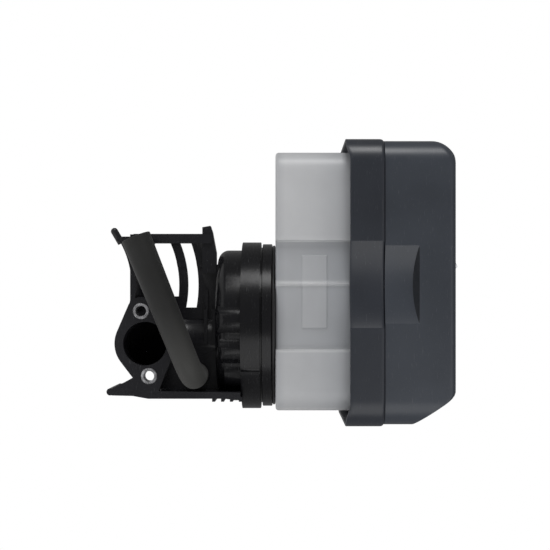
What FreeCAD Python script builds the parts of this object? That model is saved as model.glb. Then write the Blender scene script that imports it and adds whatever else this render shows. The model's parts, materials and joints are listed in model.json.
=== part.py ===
import FreeCAD, Part
import math
import os

V = FreeCAD.Vector

# Oil-bath air filter housing for a small single-cylinder engine, in millimetres.
# Origin: centre of the intake bore on the carburettor flange face. The flange faces -Y.
# +Z runs from the flange towards the wing nut, +X points to the low side of the bowl.

past = 1.0                   # cutters run this far past a face
weld = 1.0                   # moulded shapes run this far into each other

# ---- carburettor flange and intake duct
stud_pitch = 42.0
flange_roll = 7.1            # tilt of the stud pair from the X axis, degrees
flange_depth = 8.0
flange_boss_r = 19.6
stud_ear_r = 9.0
bore_r = 14.0
duct_wall = 3.4
duct_straight = 22.0
duct_bend_r = 25.0
collar_outer_r = 5.2
collar_bore_r = 3.25
flange_web = ((20.8, -6.0), (24.6, -12.8), (27.4, -18.6), (30.2, -23.4))
flange_web_top = (18.0, 13.5)    # X and Z where the web meets the intake boss
flange_web_end_z = 8.0
neck_rib_z = ((35.5, 38.0), (41.0, 43.2))
neck_rib_x = (-35.0, 2.0)
neck_rib_step_x = -21.5
neck_rib_y = 32.6
neck_rib_proud = 1.2

# ---- round drum that joins the duct to the bowl
drum_x = -11.0
drum_r = 51.0
drum_front = 1.0             # how far the drum's near side stands in front of the flange face
drum_wall = 2.6
drum_shoulder_r = 7.0
drum_base_z = 44.5
drum_h = 16.5
disc_rim = 5.5
disc_h = 12.4
lobe_r = 10.0
lobe_proud = 3.4
lobe_angles = (-4.5, 18.5, 41.5, 64.5)
lobe_base_z = (46.5, 48.0, 50.5, 53.0)
rim_lug_x = (18.0, 45.0)
rim_lug_proud = 0.8

# ---- frame around the flange
plate_x = 35.4               # outer face of the bottom plate
plate_t = 4.0
plate_depth = 44.0
plate_z_start = -21.4
plate_taper = ((0.0, 2.0), (-1.8, -8.0))    # step in X from the outer face, and Z
plate_lip_inset = 0.4
plate_rib_short = 4.0        # the ribs stop this far before the plate's back edge
rib_count = 4
rib_pitch = 5.7
rib_height = 1.9
rib_width = 1.9
rib_first_z = 43.0
side_wall_t = 3.0
side_wall_path = ((-20.0, -11.5), (-40.0, -8.8), (-66.0, -16.5))    # X and Z along its low face
shelf_x = (-68.6, -65.6)
shelf_z = (-18.0, 2.0)
peg_foot = (-64.5, -15.5)
peg_reach = (-7.5, -4.4)
peg_r = 2.3

# ---- control panel behind the flange
panel_y = (38.0, 41.0)
panel_x = (-72.4, -12.0)
panel_z = (-15.0, 40.6)
panel_foot_x = -52.0         # from here down the panel reaches the drum
panel_ridge_x = (-53.5, -50.5)
panel_ridge_proud = 1.0
panel_ridge_z = 15.0
panel_bar = 6.4
panel_bar_depth = 5.0
slot_centre_z = -53.3
slot_centre_x = -38.0
slot_radii = ((58.0, 71.5), (77.5, 84.5))
slot_x_ends = ((-66.3, -30.5), (-66.3, -23.0))
post_depth = 3.0
panel_gap = 0.3
slot_from_z = -20.0
post_outline = ((-77.0, 34.0), (-78.0, 39.4), (-74.0, 40.8), (-60.0, 43.4), (-46.0, 43.4), (-46.0, 34.0))
back_web_t = 4.0
back_web_z = 6.0

# ---- breather tube
tube_y = -11.2
tube_free_end = (-67.8, -4.4)    # X and Z of the open end
tube_corner_x = 21.1         # where the tube turns back to its spigot
tube_clear = 5.1             # room between the tube and the drum's floor
tube_r_free = 9.4
tube_r_low = 8.1
tube_bore_r = 4.5
tube_bend_r = 12.5
tube_leg_end_y = 19.0
nipple_bore_r = 4.7          # the open end is bored wider for the crankcase nipple
nipple_depth = 22.0
spigot_tip_y = 4.0
running_gap = 0.05
gusset_y = (30.0, 34.0)
spigot_bore_r = 2.6
spigot_collar_t = 3.0
spigot_collar_w = 2.6
gusset_base_z = 8.0
gusset_into_drum = 6.0

# ---- centre stud and its nuts
stud_x = -39.0
stud_r = 2.95
stud_past_nut = 0.9
stud_tail = 0.8              # how far the stud stands past its lock nut
stud_chamfer = 1.0
stud_boss_r = 8.0
stud_boss_z = (41.6, 52.0)
washer_t = 1.6
washer_r = 6.0
lock_nut_flats = 10.0
lock_nut_h = 5.0

# ---- seat between the drum and the bowl
seat_groove = 1.2
seat_ring_inset = 1.2
seat_ring_h = 6.4
seat_spigot_h = 5.0
seat_spigot_t = 1.6
seat_groove_depth = 2.4
gasket_inset = 2.1
gasket_h = 2.3
gasket_bead_r = 0.9
seat_gap = 0.2
body_gap = 0.3               # room left between pieces that lift apart

# ---- oil bowl
bowl_x = (-123.8, 43.9)
bowl_depth = 104.0
bowl_h = 57.4
bowl_corner_r = 14.0
bowl_wall = 2.2
bowl_foot_r = 2.0
bay_x = (-66.0, 4.0)
bay_depth = 3.0
bay_rib_x = -38.5
bay_rib_w = 1.6
bay_rib_proud = 1.0
label_x = (-56.7, -10.0)
label_rise = 17.0            # from the bowl's floor to the label plate
label_h = 16.0
label_proud = 0.7
chimney_bore_r = 18.0
chimney_wall = 2.2
chimney_past_rim = 3.4

# ---- filter element and its holder
holder_room_x = 11.8         # between the bowl's outside and the holder
holder_room_y = 13.0
holder_leg_h = 10.9
holder_corner_r = 10.0
holder_wall = 2.0
holder_lip = 4.0
holder_lip_t = 2.0
ledge_w = 3.0
ledge_t = 2.0
leg_w = 8.0
grid_t = 2.0
grid_bar = 2.4
grid_cell = 9.6
grid_clear = 0.3
chimney_clear = 1.3
boss_side = 7.0
boss_inset = 5.0
boss_web_t = 3.0
foam_h = 37.3
foam_clear = 0.4
screw_r = 1.4
screw_head_r = 2.9
screw_head_h = 1.8
screw_len = 12.0
screw_clear = 0.2
screw_tip = 1.0              # room below the screw in its hole
screw_slot_w = 0.7
chimney_seal_t = 2.6
chimney_seal_w = 4.4
deck_gasket_t = 0.6
deck_gasket_in = 1.0

# ---- cover (the skirt piece) and cap
skirt_reach_low = 8.1        # skirt past the bowl at its -X end
skirt_reach_high = 9.8       # skirt past the bowl at its +X end
skirt_reach_y = 8.0
skirt_overlap = 12.4         # how far the skirt's ends hang below the bowl's rim
skirt_notch = 2.4            # the skirt's long sides are this much shorter
cover_h = 24.4
cover_corner_r = 17.0
shell_wall = 2.4
cover_shoulder_r = 1.6
deck_drop = 4.4              # from the cover's top edge down to the deck
deck_t = 2.3
deck_margin = 5.0            # the deck reaches this far over the holder
cap_inset = 1.3
cap_h = 45.1
cap_top_r = 14.0
cap_chamfer_z = 26.0
cap_chamfer_x = 18.9
cap_chamfer_r = 8.0          # rounding where the chamfer meets the top and the end
cap_edge_r = 4.0
scoop_x = (-65.2, -10.0)
scoop_depth = 6.6
scoop_rise = 22.0            # from the seam up to the scoop's end wall
scoop_slope = 4.5
seal_w = 3.0
seal_lip = 0.1
seal_past_scoop = 2.0
well_r = 20.5
well_depth = 5.0
cap_rib_t = 2.0
cap_rib_h = 7.0
cap_rib_reach = 22.0
grommet_r = 7.0
grommet_flange_r = 9.5
grommet_flange_t = 1.5
grommet_past_wall = 1.0

# ---- wing nut
nut_washer_r = 9.0
nut_washer_t = 1.4
nut_base_r = 6.2
nut_top_r = 4.6
nut_h = 7.4
wing_reach = 17.2
wing_rise = 8.6              # wing tips above the cap's top
wing_t = 2.4
wing_low = ((2.0, 1.2), (8.0, 2.0))                  # reach, and height above the nut's base
wing_tip = ((0.0, 5.5), (1.2, 1.2), (4.0, 0.0), (8.0, 3.0))    # short of the reach, below the tip
wing_root = ((4.4, 0.6), (2.0, 0.6))                 # reach, and depth below the nut's top
wing_turn = 24.0             # how far the wings stand from the X axis, degrees


def box(x, y, z):
    """Block between the low and high value of each axis."""
    return Part.makeBox(x[1] - x[0], y[1] - y[0], z[1] - z[0], V(x[0], y[0], z[0]))


def through(span):
    """Span of a cutter that runs past both faces it cuts."""
    return (span[0] - past, span[1] + past)


def rod_z(x, y, z, r):
    """Round rod along Z."""
    return Part.makeCylinder(r, z[1] - z[0], V(x, y, z[0]), V(0, 0, 1))


def rod_y(x, z, y, r):
    """Round rod along Y."""
    return Part.makeCylinder(r, y[1] - y[0], V(x, y[0], z), V(0, 1, 0))


def inset(span, by):
    """The span drawn in by the same amount at both ends."""
    return (span[0] + by, span[1] - by)


def middle(span):
    """Half way between the two ends of a span."""
    return (span[0] + span[1]) / 2.0


def rounded_box(x, y, z, r):
    """Block with its four upright edges rounded."""
    block = box(x, y, z)
    upright = [e for e in block.Edges if abs(e.tangentAt(e.FirstParameter).z) > 0.9]
    return block.makeFillet(r, upright)


def outline_xz(points, y):
    """Plate with a straight-sided outline given as X and Z, between two values of Y."""
    corners = [V(p[0], y[0], p[1]) for p in points]
    wire = Part.makePolygon(corners + [corners[0]])
    return Part.Face(wire).extrude(V(0, y[1] - y[0], 0))


def link_xz(c1, r1, c2, r2, y):
    """Two round bosses and the web between their outer tangents."""
    dx = c2[0] - c1[0]
    dz = c2[1] - c1[1]
    along = math.atan2(dz, dx)
    swing = math.acos((r1 - r2) / math.hypot(dx, dz))
    points = []
    for centre, r, side in ((c1, r1, 1), (c1, r1, -1), (c2, r2, -1), (c2, r2, 1)):
        angle = along + side * swing
        points.append((centre[0] + r * math.cos(angle), centre[1] + r * math.sin(angle)))
    web = outline_xz(points, y)
    return web.fuse([rod_y(c1[0], c1[1], y, r1), rod_y(c2[0], c2[1], y, r2)])


def ring_z(x, y, z, r_out, r_in):
    """Flat ring around an axis along Z."""
    return rod_z(x, y, z, r_out).cut(rod_z(x, y, through(z), r_in))


def turned(points, x, y):
    """Solid of revolution about an axis along Z; points are radius and height."""
    corners = [V(x + p[0], y, p[1]) for p in points]
    face = Part.Face(Part.makePolygon(corners + [corners[0]]))
    return face.revolve(V(x, y, 0), V(0, 0, 1), 360)


def hex_nut(x, y, z, flats, bore):
    """Hexagonal nut along Z."""
    r = flats / math.sqrt(3.0)
    corners = [V(x + r * math.cos(math.radians(60 * i)), y + r * math.sin(math.radians(60 * i)), z[0])
               for i in range(6)]
    body = Part.Face(Part.makePolygon(corners + [corners[0]])).extrude(V(0, 0, z[1] - z[0]))
    return body.cut(rod_z(x, y, through(z), bore))


def tidy(shape):
    """Merge faces that lie on one surface and give back the single solid."""
    clean = shape.removeSplitter()
    return clean.Solids[0] if len(clean.Solids) == 1 else clean


# ---- places worked out from the sizes above
drum_y = drum_r - drum_front
disc_r = drum_r + disc_rim
disc_z = (drum_base_z + drum_h, drum_base_z + drum_h + disc_h)
stud_y = drum_y
roll = math.radians(flange_roll)
ear_low = (stud_pitch / 2 * math.cos(roll), stud_pitch / 2 * math.sin(roll))
ear_high = (-ear_low[0], -ear_low[1])
duct_y = duct_straight + duct_bend_r
tube_corner = (tube_corner_x, drum_base_z - tube_clear - tube_r_low)
duct_r = bore_r + duct_wall
plate_inner_x = plate_x - plate_t
seat_ring_r = disc_r - seat_ring_inset
spigot_ring_r = drum_r - drum_wall - seat_gap
seat_ring_inner_r = spigot_ring_r - seat_spigot_t
gasket_r = disc_r - gasket_inset
seat_ring_z = (disc_z[1] + seat_groove, disc_z[1] + seat_groove + seat_ring_h)
gasket_z = (seat_ring_z[1], seat_ring_z[1] + gasket_h)
chimney_r = chimney_bore_r + chimney_wall
bowl_y = (stud_y - bowl_depth / 2, stud_y + bowl_depth / 2)
bowl_z = (gasket_z[1] + body_gap, gasket_z[1] + body_gap + bowl_h)
floor_top_z = bowl_z[0] + bowl_wall
chimney_top_z = bowl_z[1] + chimney_past_rim
label_z = (bowl_z[0] + label_rise, bowl_z[0] + label_rise + label_h)
cover_x = (bowl_x[0] - skirt_reach_low, bowl_x[1] + skirt_reach_high)
cover_y = (bowl_y[0] - skirt_reach_y, bowl_y[1] + skirt_reach_y)
cover_z = (bowl_z[1] - skirt_overlap, bowl_z[1] - skirt_overlap + cover_h)
deck_z = (cover_z[1] - deck_drop - deck_t, cover_z[1] - deck_drop)
holder_x = (bowl_x[0] + holder_room_x, bowl_x[1] - holder_room_x)
holder_y = (bowl_y[0] + holder_room_y, bowl_y[1] - holder_room_y)
holder_z = (floor_top_z + body_gap + holder_leg_h, deck_z[0] - body_gap - deck_gasket_t)
deck_open_x = (holder_x[0] + deck_margin, holder_x[1] - deck_margin)
deck_open_y = (holder_y[0] + deck_margin, holder_y[1] - deck_margin)
inner_holder_x = inset(holder_x, holder_wall)
inner_holder_y = inset(holder_y, holder_wall)
lower_grid_z = (holder_z[0] + ledge_t, holder_z[0] + ledge_t + grid_t)
foam_z = (lower_grid_z[1] + body_gap, lower_grid_z[1] + body_gap + foam_h)
foam_top_z = foam_z[1]
upper_grid_z = (foam_top_z + body_gap, foam_top_z + body_gap + grid_t)
cap_x = inset(cover_x, cap_inset)
cap_y = inset(cover_y, cap_inset)
cap_z = (cover_z[1] + body_gap, cover_z[1] + body_gap + cap_h)
cap_top_z = cap_z[1]
scoop_top_z = cover_z[1] + scoop_rise
cap_corner_r = cover_corner_r - cap_inset
slant = math.hypot(cap_chamfer_x, cap_chamfer_z)
slant_x = cap_chamfer_z / slant    # the chamfer's normal
slant_z = cap_chamfer_x / slant
well_floor_z = cap_top_z - well_depth
washer_base_z = well_floor_z + grommet_flange_t
nut_base_z = washer_base_z + nut_washer_t + running_gap
stud_top_z = nut_base_z + nut_h + stud_past_nut
wing_tip_z = cap_top_z + wing_rise
scoop_half = (scoop_x[1] - scoop_x[0]) / 2.0
scoop_r = (scoop_half ** 2 + scoop_depth ** 2) / (2.0 * scoop_depth)
boss_x = (inner_holder_x[0] + boss_inset, inner_holder_x[1] - boss_inset)
boss_y = (inner_holder_y[0] + boss_inset, inner_holder_y[1] - boss_inset)
boss_places = [(x, y) for x in boss_x for y in boss_y]


def flange():
    """Flange plate: intake boss, two stud ears and the web down to the bottom plate."""
    y = (0.0, flange_depth)
    plate = link_xz((0, 0), flange_boss_r, ear_low, stud_ear_r, y)
    plate = plate.fuse(link_xz((0, 0), flange_boss_r, ear_high, stud_ear_r, y))
    web = outline_xz([*flange_web, (plate_inner_x + weld, flange_web_end_z), flange_web_top], y)
    return plate.fuse(web)


def duct_solid(r):
    """Pipe along +Y from the flange, turned up into the drum."""
    level = rod_y(0, 0, (0, duct_straight), r)
    disc = Part.Face(Part.Wire(Part.makeCircle(r, V(0, duct_straight, 0), V(0, 1, 0))))
    bend = disc.revolve(V(0, duct_straight, duct_bend_r), V(1, 0, 0), 90)
    rise = rod_z(0, duct_y, (duct_bend_r, drum_base_z + drum_wall), r)
    return level.fuse([bend, rise])


def turned_shoulder(extra, top_z):
    """Drum-shaped solid whose lower shoulder is a true arc."""
    r = drum_r + extra
    a = V(drum_x, drum_y, drum_base_z)
    b = V(drum_x + r - drum_shoulder_r, drum_y, drum_base_z)
    mid_x = drum_x + r - drum_shoulder_r * (1 - math.sin(math.radians(45)))
    mid_z = drum_base_z + drum_shoulder_r * (1 - math.cos(math.radians(45)))
    c = V(drum_x + r, drum_y, drum_base_z + drum_shoulder_r)
    d = V(drum_x + r, drum_y, top_z)
    e = V(drum_x, drum_y, top_z)
    edges = [Part.makeLine(a, b), Part.Arc(b, V(mid_x, drum_y, mid_z), c).toShape(),
             Part.makeLine(c, d), Part.makeLine(d, e), Part.makeLine(e, a)]
    return Part.Face(Part.Wire(edges)).revolve(V(drum_x, drum_y, 0), V(0, 0, 1), 360)


def drum_outside():
    """Drum, its rim disc, the lobes on the near side and the lug on the rim."""
    body = turned_shoulder(0.0, disc_z[1])
    body = body.fuse(rod_z(drum_x, drum_y, disc_z, disc_r))
    envelope = turned_shoulder(lobe_proud, disc_z[0])
    centre_r = drum_r + lobe_proud - lobe_r
    for angle, base in zip(lobe_angles, lobe_base_z):
        a = math.radians(angle)
        x = drum_x + centre_r * math.sin(a)
        y = drum_y - centre_r * math.cos(a)
        lobe = rod_z(x, y, (base, disc_z[0]), lobe_r)
        body = body.fuse(lobe.common(envelope))
    lug = rod_z(drum_x, drum_y, disc_z, disc_r + rim_lug_proud)
    lug = lug.common(box(rim_lug_x, (drum_y - disc_r - rim_lug_proud - past, drum_y), disc_z))
    return body.fuse(lug)


def bottom_plate():
    """Plate under the flange with a rounded lip and the short ribs on its outer face."""
    y = (0.0, plate_depth)
    lip_x = plate_inner_x - plate_lip_inset
    taper = [(plate_x + step, z) for step, z in plate_taper]
    plate = outline_xz([(lip_x - weld, plate_z_start), (plate_inner_x, disc_z[0]), (plate_x, disc_z[0]),
                        *taper, (lip_x + peg_r, plate_z_start)], y)
    lip = rod_y(lip_x, plate_z_start - weld, y, peg_r)
    shape = plate.fuse(lip)
    for i in range(rib_count):
        z = rib_first_z + i * rib_pitch
        rib = box((plate_x - weld, plate_x + rib_height), (0.0, plate_depth - plate_rib_short), (z, z + rib_width))
        shape = shape.fuse(rib)
    return shape


def side_wall():
    """Curved wall up the low side, from the upper stud ear to the peg at the top corner."""
    y = (0.0, panel_y[0])
    low, bulge, high = [V(x, 0, z) for x, z in side_wall_path]
    step = V(0, 0, side_wall_t)
    edges = [Part.Arc(low, bulge, high).toShape(), Part.makeLine(high, high + step),
             Part.Arc(high + step, bulge + step, low + step).toShape(), Part.makeLine(low + step, low)]
    wall = Part.Face(Part.Wire(edges)).extrude(V(0, y[1], 0))
    shelf = box(shelf_x, y, shelf_z)
    foot = V(peg_foot[0], peg_r, peg_foot[1])
    reach = V(peg_reach[0], 0, peg_reach[1])
    peg = Part.makeCylinder(peg_r, reach.Length, foot, reach)
    ball = Part.makeSphere(peg_r, foot + reach)
    return wall.fuse([shelf, peg, ball])


def gusset():
    """Web between the duct, the bottom plate and the drum that carries the breather spigot."""
    x, z = tube_corner
    web = box((0.0, plate_x - weld), gusset_y, (gusset_base_z, drum_base_z + gusset_into_drum))
    spigot = rod_y(x, z, (spigot_tip_y, gusset_y[1]), tube_bore_r - running_gap)
    collar = rod_y(x, z, (gusset_y[0] - spigot_collar_t, gusset_y[0]), tube_bore_r + spigot_collar_w)
    return web.fuse([spigot, collar])


def stud_boss(extra):
    """Boss that carries the centre stud through the drum's floor, grown by extra."""
    return rod_z(stud_x, stud_y, stud_boss_z, stud_boss_r + extra)


def drum():
    """Drum: outside form, hollowed, with the stud boss and the hole where the duct comes in."""
    plenum = rod_z(drum_x, drum_y, (drum_base_z + drum_wall, disc_z[1] + past), drum_r - drum_wall)
    shoulder = turned_shoulder(-drum_wall, disc_z[1] + past)
    shoulder.translate(V(0, 0, drum_wall))
    body = drum_outside().cut(plenum.common(shoulder)).fuse(stud_boss(0.0))
    body = body.cut(rod_z(0, duct_y, through((drum_base_z, drum_base_z + drum_wall)), duct_r))
    return tidy(body.cut(rod_z(stud_x, stud_y, through(stud_boss_z), stud_r)))


def neck_ribs():
    """Two thin ribs across the duct's rise, deeper where they pass it."""
    ribs = []
    for z in neck_rib_z:
        ribs.append(box((neck_rib_step_x, neck_rib_x[1]), (duct_y - duct_r - neck_rib_proud, panel_y[0]), z))
        ribs.append(box((neck_rib_x[0], neck_rib_step_x + weld), (neck_rib_y, panel_y[0]), z))
    return ribs


def intake_duct():
    """Carburettor flange, the duct that turns up into the drum and the ribs across it."""
    body = flange().fuse([duct_solid(duct_r), *neck_ribs()]).cut(duct_solid(bore_r))
    body = body.cut(rod_z(0, duct_y, (duct_bend_r, drum_base_z + drum_wall + past), bore_r))
    for ear in (ear_low, ear_high):
        body = body.cut(rod_y(ear[0], ear[1], through((0.0, flange_depth)), collar_outer_r))
    return tidy(body)


def bottom_bracket():
    """Bottom plate with its lip and ribs, and the two webs that tie it to the duct and the drum."""
    body = bottom_plate().fuse([gusset(), back_web()])
    x, z = tube_corner
    body = body.cut(rod_y(x, z, through((spigot_tip_y, gusset_y[1])), spigot_bore_r))
    return tidy(body.cut([turned_shoulder(0.0, disc_z[1]), drum_outside(), flange(), duct_solid(duct_r)]))


def side_bracket():
    """Side wall with its shelf and peg, met by the flange's upper ear."""
    return tidy(side_wall().cut(flange()))


def back_web():
    """Web beside the duct that closes the space between it and the bottom plate."""
    return box((0.0, plate_x - weld), (panel_y[0] - back_web_t, panel_y[0]),
               (back_web_z, drum_base_z + weld))


def control_panel():
    """Flat panel behind the flange with two arc slots, a stiffening bar and a corner post."""
    plate = box(panel_x, panel_y, panel_z)
    bar = box((panel_x[0], panel_x[0] + panel_bar), (panel_y[0] - panel_bar_depth, panel_y[1]),
              (panel_z[0] + side_wall_t, panel_z[1]))
    post_y = (panel_y[0] - post_depth, panel_y[1] + post_depth)
    post = outline_xz(post_outline, post_y)
    foot = box((panel_foot_x, panel_x[1]), panel_y, (panel_z[1] - weld, drum_base_z + weld))
    ridge = box(panel_ridge_x, (panel_y[0] - panel_ridge_proud, panel_y[1]), (panel_ridge_z, panel_z[1]))
    shape = plate.fuse([bar, post, foot, ridge])
    y = through((panel_y[0] - panel_bar_depth, panel_y[1] + post_depth))
    for (r_in, r_out), ends in zip(slot_radii, slot_x_ends):
        arc = rod_y(slot_centre_x, slot_centre_z, y, r_out)
        arc = arc.cut(rod_y(slot_centre_x, slot_centre_z, y, r_in))
        shape = shape.cut(arc.common(box(ends, y, (slot_from_z, panel_z[1]))))
    return tidy(shape.cut([turned_shoulder(panel_gap, disc_z[1]), side_wall(), stud_boss(panel_gap),
                           duct_solid(duct_r + panel_gap)]))


def tube_run(r_low, r_free, past_end):
    """Solid along the tube's path: long leg, bend and short leg; past_end lengthens both ends."""
    corner = V(tube_corner[0], tube_y, tube_corner[1])
    along = V(tube_free_end[0], tube_y, tube_free_end[1]) - corner
    long_len = along.Length - tube_bend_r + past_end
    along.normalize()
    back = V(0, 1, 0)
    long_start = corner + along * tube_bend_r
    short_start = corner + back * tube_bend_r
    pivot = long_start + back * tube_bend_r
    if r_free > r_low:
        long_leg = Part.makeCone(r_low, r_free, long_len, long_start, along)
    else:
        long_leg = Part.makeCylinder(r_low, long_len, long_start, along)
    short_leg = Part.makeCylinder(r_low, tube_leg_end_y - short_start.y + past_end, short_start, back)
    disc = Part.Face(Part.Wire(Part.makeCircle(r_low, long_start, along)))
    bend = disc.revolve(pivot, back.cross(along), 90)
    return long_leg.fuse([bend, short_leg])


def breather_tube():
    """Moulded rubber tube: tapered long leg, a bend, and a short leg over the spigot."""
    open_end = V(tube_free_end[0], tube_y, tube_free_end[1])
    inward = (V(tube_corner[0], tube_y, tube_corner[1]) - open_end).normalize()
    nipple_bore = Part.makeCylinder(nipple_bore_r, nipple_depth + past, open_end - inward * past, inward)
    bore = tube_run(tube_bore_r, tube_bore_r, past)
    return tidy(tube_run(tube_r_low, tube_r_free, 0.0).cut([bore, nipple_bore]))


def flange_collars():
    """Two steel collars pressed through the stud ears."""
    collars = []
    for ear in (ear_low, ear_high):
        collar = rod_y(ear[0], ear[1], (0.0, flange_depth), collar_outer_r)
        collars.append(collar.cut(rod_y(ear[0], ear[1], through((0.0, flange_depth)), collar_bore_r)))
    return Part.makeCompound(collars)


def centre_stud():
    """Long stud that clamps the whole housing, with chamfered ends."""
    low_z = stud_boss_z[0] - washer_t - lock_nut_h - stud_tail
    tip_r = stud_r - stud_chamfer
    return turned([(0, low_z), (tip_r, low_z), (stud_r, low_z + stud_chamfer),
                   (stud_r, stud_top_z - stud_chamfer), (tip_r, stud_top_z), (0, stud_top_z)], stud_x, stud_y)


def stud_washer():
    """Flat washer under the stud's lock nut."""
    z = (stud_boss_z[0] - washer_t, stud_boss_z[0])
    return ring_z(stud_x, stud_y, z, washer_r, stud_r)


def stud_lock_nut():
    """Lock nut that holds the stud in the drum's boss."""
    top = stud_boss_z[0] - washer_t
    return hex_nut(stud_x, stud_y, (top - lock_nut_h, top), lock_nut_flats, stud_r)


def seat_ring():
    """Ring that seats on the drum's rim, with a spigot down into the drum."""
    z0 = disc_z[1]
    groove_r = seat_ring_r - seat_groove_depth
    return turned([(seat_ring_inner_r, z0 - seat_spigot_h), (spigot_ring_r, z0 - seat_spigot_h),
                   (spigot_ring_r, z0), (groove_r, z0), (groove_r, seat_ring_z[0]),
                   (seat_ring_r, seat_ring_z[0]), (seat_ring_r, seat_ring_z[1]),
                   (seat_ring_inner_r, seat_ring_z[1])], drum_x, drum_y)


def seat_gasket():
    """Rubber gasket between the seat ring and the bowl's floor, with a bead round its edge."""
    flat = ring_z(drum_x, drum_y, gasket_z, gasket_r, seat_ring_inner_r)
    bead = Part.makeTorus(gasket_r, gasket_bead_r, V(drum_x, drum_y, middle(gasket_z)), V(0, 0, 1))
    return tidy(flat.fuse(bead))


def oil_bowl():
    """Translucent bowl with a recessed bay on the near side, a rib, a label plate and a chimney."""
    outside = rounded_box(bowl_x, bowl_y, bowl_z, bowl_corner_r)
    foot = [e for e in outside.Edges if e.BoundBox.ZMax < bowl_z[0] + 0.01]
    outside = outside.makeFillet(bowl_foot_r, foot)
    bay_back = bowl_y[0] + bay_depth
    outside = outside.cut(box(bay_x, (bowl_y[0] - past, bay_back), through(bowl_z)))
    inside = rounded_box(inset(bowl_x, bowl_wall), inset(bowl_y, bowl_wall),
                         (floor_top_z, bowl_z[1] + past), bowl_corner_r - bowl_wall)
    bay_inside = box((bay_x[0] - bowl_wall, bay_x[1] + bowl_wall),
                     (bowl_y[0], bay_back + bowl_wall), through((floor_top_z, bowl_z[1] + past)))
    bowl = outside.cut(inside.cut(bay_inside))
    rib_x = (bay_rib_x - bay_rib_w / 2, bay_rib_x + bay_rib_w / 2)
    rib = box(rib_x, (bay_back - bay_rib_proud, bay_back + weld), (bowl_z[0] + bowl_foot_r, bowl_z[1]))
    label = box(label_x, (bay_back - label_proud, bay_back + weld), label_z)
    chimney = rod_z(stud_x, stud_y, (bowl_z[0], chimney_top_z), chimney_r)
    bowl = bowl.fuse([rib, label, chimney])
    return tidy(bowl.cut(rod_z(stud_x, stud_y, through((bowl_z[0], chimney_top_z)), chimney_bore_r)))


def holder_bosses(z):
    """Four square screw bosses in the corners of the element holder."""
    half = boss_side / 2
    return [box((x - half, x + half), (y - half, y + half), z) for x, y in boss_places]


def element_holder():
    """Open box that holds the filter element: lip on top, ledge below, legs and screw bosses."""
    shell = rounded_box(holder_x, holder_y, holder_z, holder_corner_r)
    lip_z = (holder_z[1] - holder_lip_t, holder_z[1])
    lip = rounded_box(inset(holder_x, -holder_lip), inset(holder_y, -holder_lip), lip_z,
                      holder_corner_r + holder_lip)
    opening = rounded_box(inner_holder_x, inner_holder_y, (lower_grid_z[0], holder_z[1] + past),
                          holder_corner_r - holder_wall)
    ledge_open = rounded_box(inset(inner_holder_x, ledge_w), inset(inner_holder_y, ledge_w),
                             (holder_z[0] - past, holder_z[1]), holder_corner_r - holder_wall - ledge_w)
    body = shell.fuse(lip).cut([opening, ledge_open])
    bosses = holder_bosses((lower_grid_z[0] - ledge_t, foam_top_z))
    keep = rounded_box(holder_x, holder_y, holder_z, holder_corner_r)
    bosses = [b.common(keep) for b in bosses]
    walls = [box(boss_wall(x, inner_holder_x, holder_x), (y - boss_web_t / 2, y + boss_web_t / 2),
                 (lower_grid_z[0] - ledge_t, foam_top_z)) for x, y in boss_places]
    legs = []
    for x in (holder_x[0], holder_x[1] - leg_w):
        for y in (holder_y[0] + holder_corner_r, holder_y[1] - holder_corner_r - leg_w):
            legs.append(box((x, x + leg_w), (y, y + leg_w), (floor_top_z + body_gap, holder_z[0])))
    body = body.fuse(bosses + walls + legs)
    for x, y in boss_places:
        body = body.cut(rod_z(x, y, (foam_top_z + grid_t - screw_len, foam_top_z + past), screw_r))
    return tidy(body)


def boss_wall(x, inner, outer):
    """X span of the short wall that ties a screw boss to the holder's nearer side."""
    return (outer[0] + holder_wall / 2, x) if x < middle(inner) else (x, outer[1] - holder_wall / 2)


def grid_plate(z, with_screws):
    """Open grid plate around the chimney, notched for the screw bosses or drilled for screws."""
    x = inset(inner_holder_x, grid_clear)
    y = inset(inner_holder_y, grid_clear)
    plate = rounded_box(x, y, z, holder_corner_r - holder_wall)
    pitch = grid_cell + grid_bar
    margin = boss_side + boss_inset
    span_x = inset(x, margin)
    span_y = inset(y, margin)
    nx = int((span_x[1] - span_x[0] + grid_bar) / pitch)
    ny = int((span_y[1] - span_y[0] + grid_bar) / pitch)
    x0 = middle(x) - (nx * pitch - grid_bar) / 2
    y0 = middle(y) - (ny * pitch - grid_bar) / 2
    holes = []
    for i in range(nx):
        for j in range(ny):
            cx = x0 + i * pitch + grid_cell / 2
            cy = y0 + j * pitch + grid_cell / 2
            if math.hypot(cx - stud_x, cy - stud_y) > chimney_r + chimney_clear + grid_cell:
                holes.append(box((cx - grid_cell / 2, cx + grid_cell / 2),
                                 (cy - grid_cell / 2, cy + grid_cell / 2), through(z)))
    holes.append(rod_z(stud_x, stud_y, through(z), chimney_r + chimney_clear))
    plate = plate.cut(holes)
    if with_screws:
        return tidy(plate.cut([rod_z(px, py, through(z), screw_r + screw_clear) for px, py in boss_places]))
    return tidy(plate.cut(boss_notches(grid_clear, through(z))))


def boss_notches(clear, z):
    """Blocks that clear the screw bosses out to the holder's side walls."""
    half = boss_side / 2 + clear
    notches = []
    for x, y in boss_places:
        x_span = (holder_x[0], x + half) if x < middle(holder_x) else (x - half, holder_x[1])
        y_span = (holder_y[0], y + half) if y < middle(holder_y) else (y - half, holder_y[1])
        notches.append(box(x_span, y_span, z))
    return notches


def filter_element():
    """Foam block that fills the holder between the two grids, with a hole for the chimney."""
    block = rounded_box(inset(inner_holder_x, foam_clear), inset(inner_holder_y, foam_clear), foam_z,
                        holder_corner_r - holder_wall)
    block = block.cut(boss_notches(foam_clear, through(foam_z)))
    return tidy(block.cut(rod_z(stud_x, stud_y, through(foam_z), chimney_r + chimney_clear)))


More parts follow.
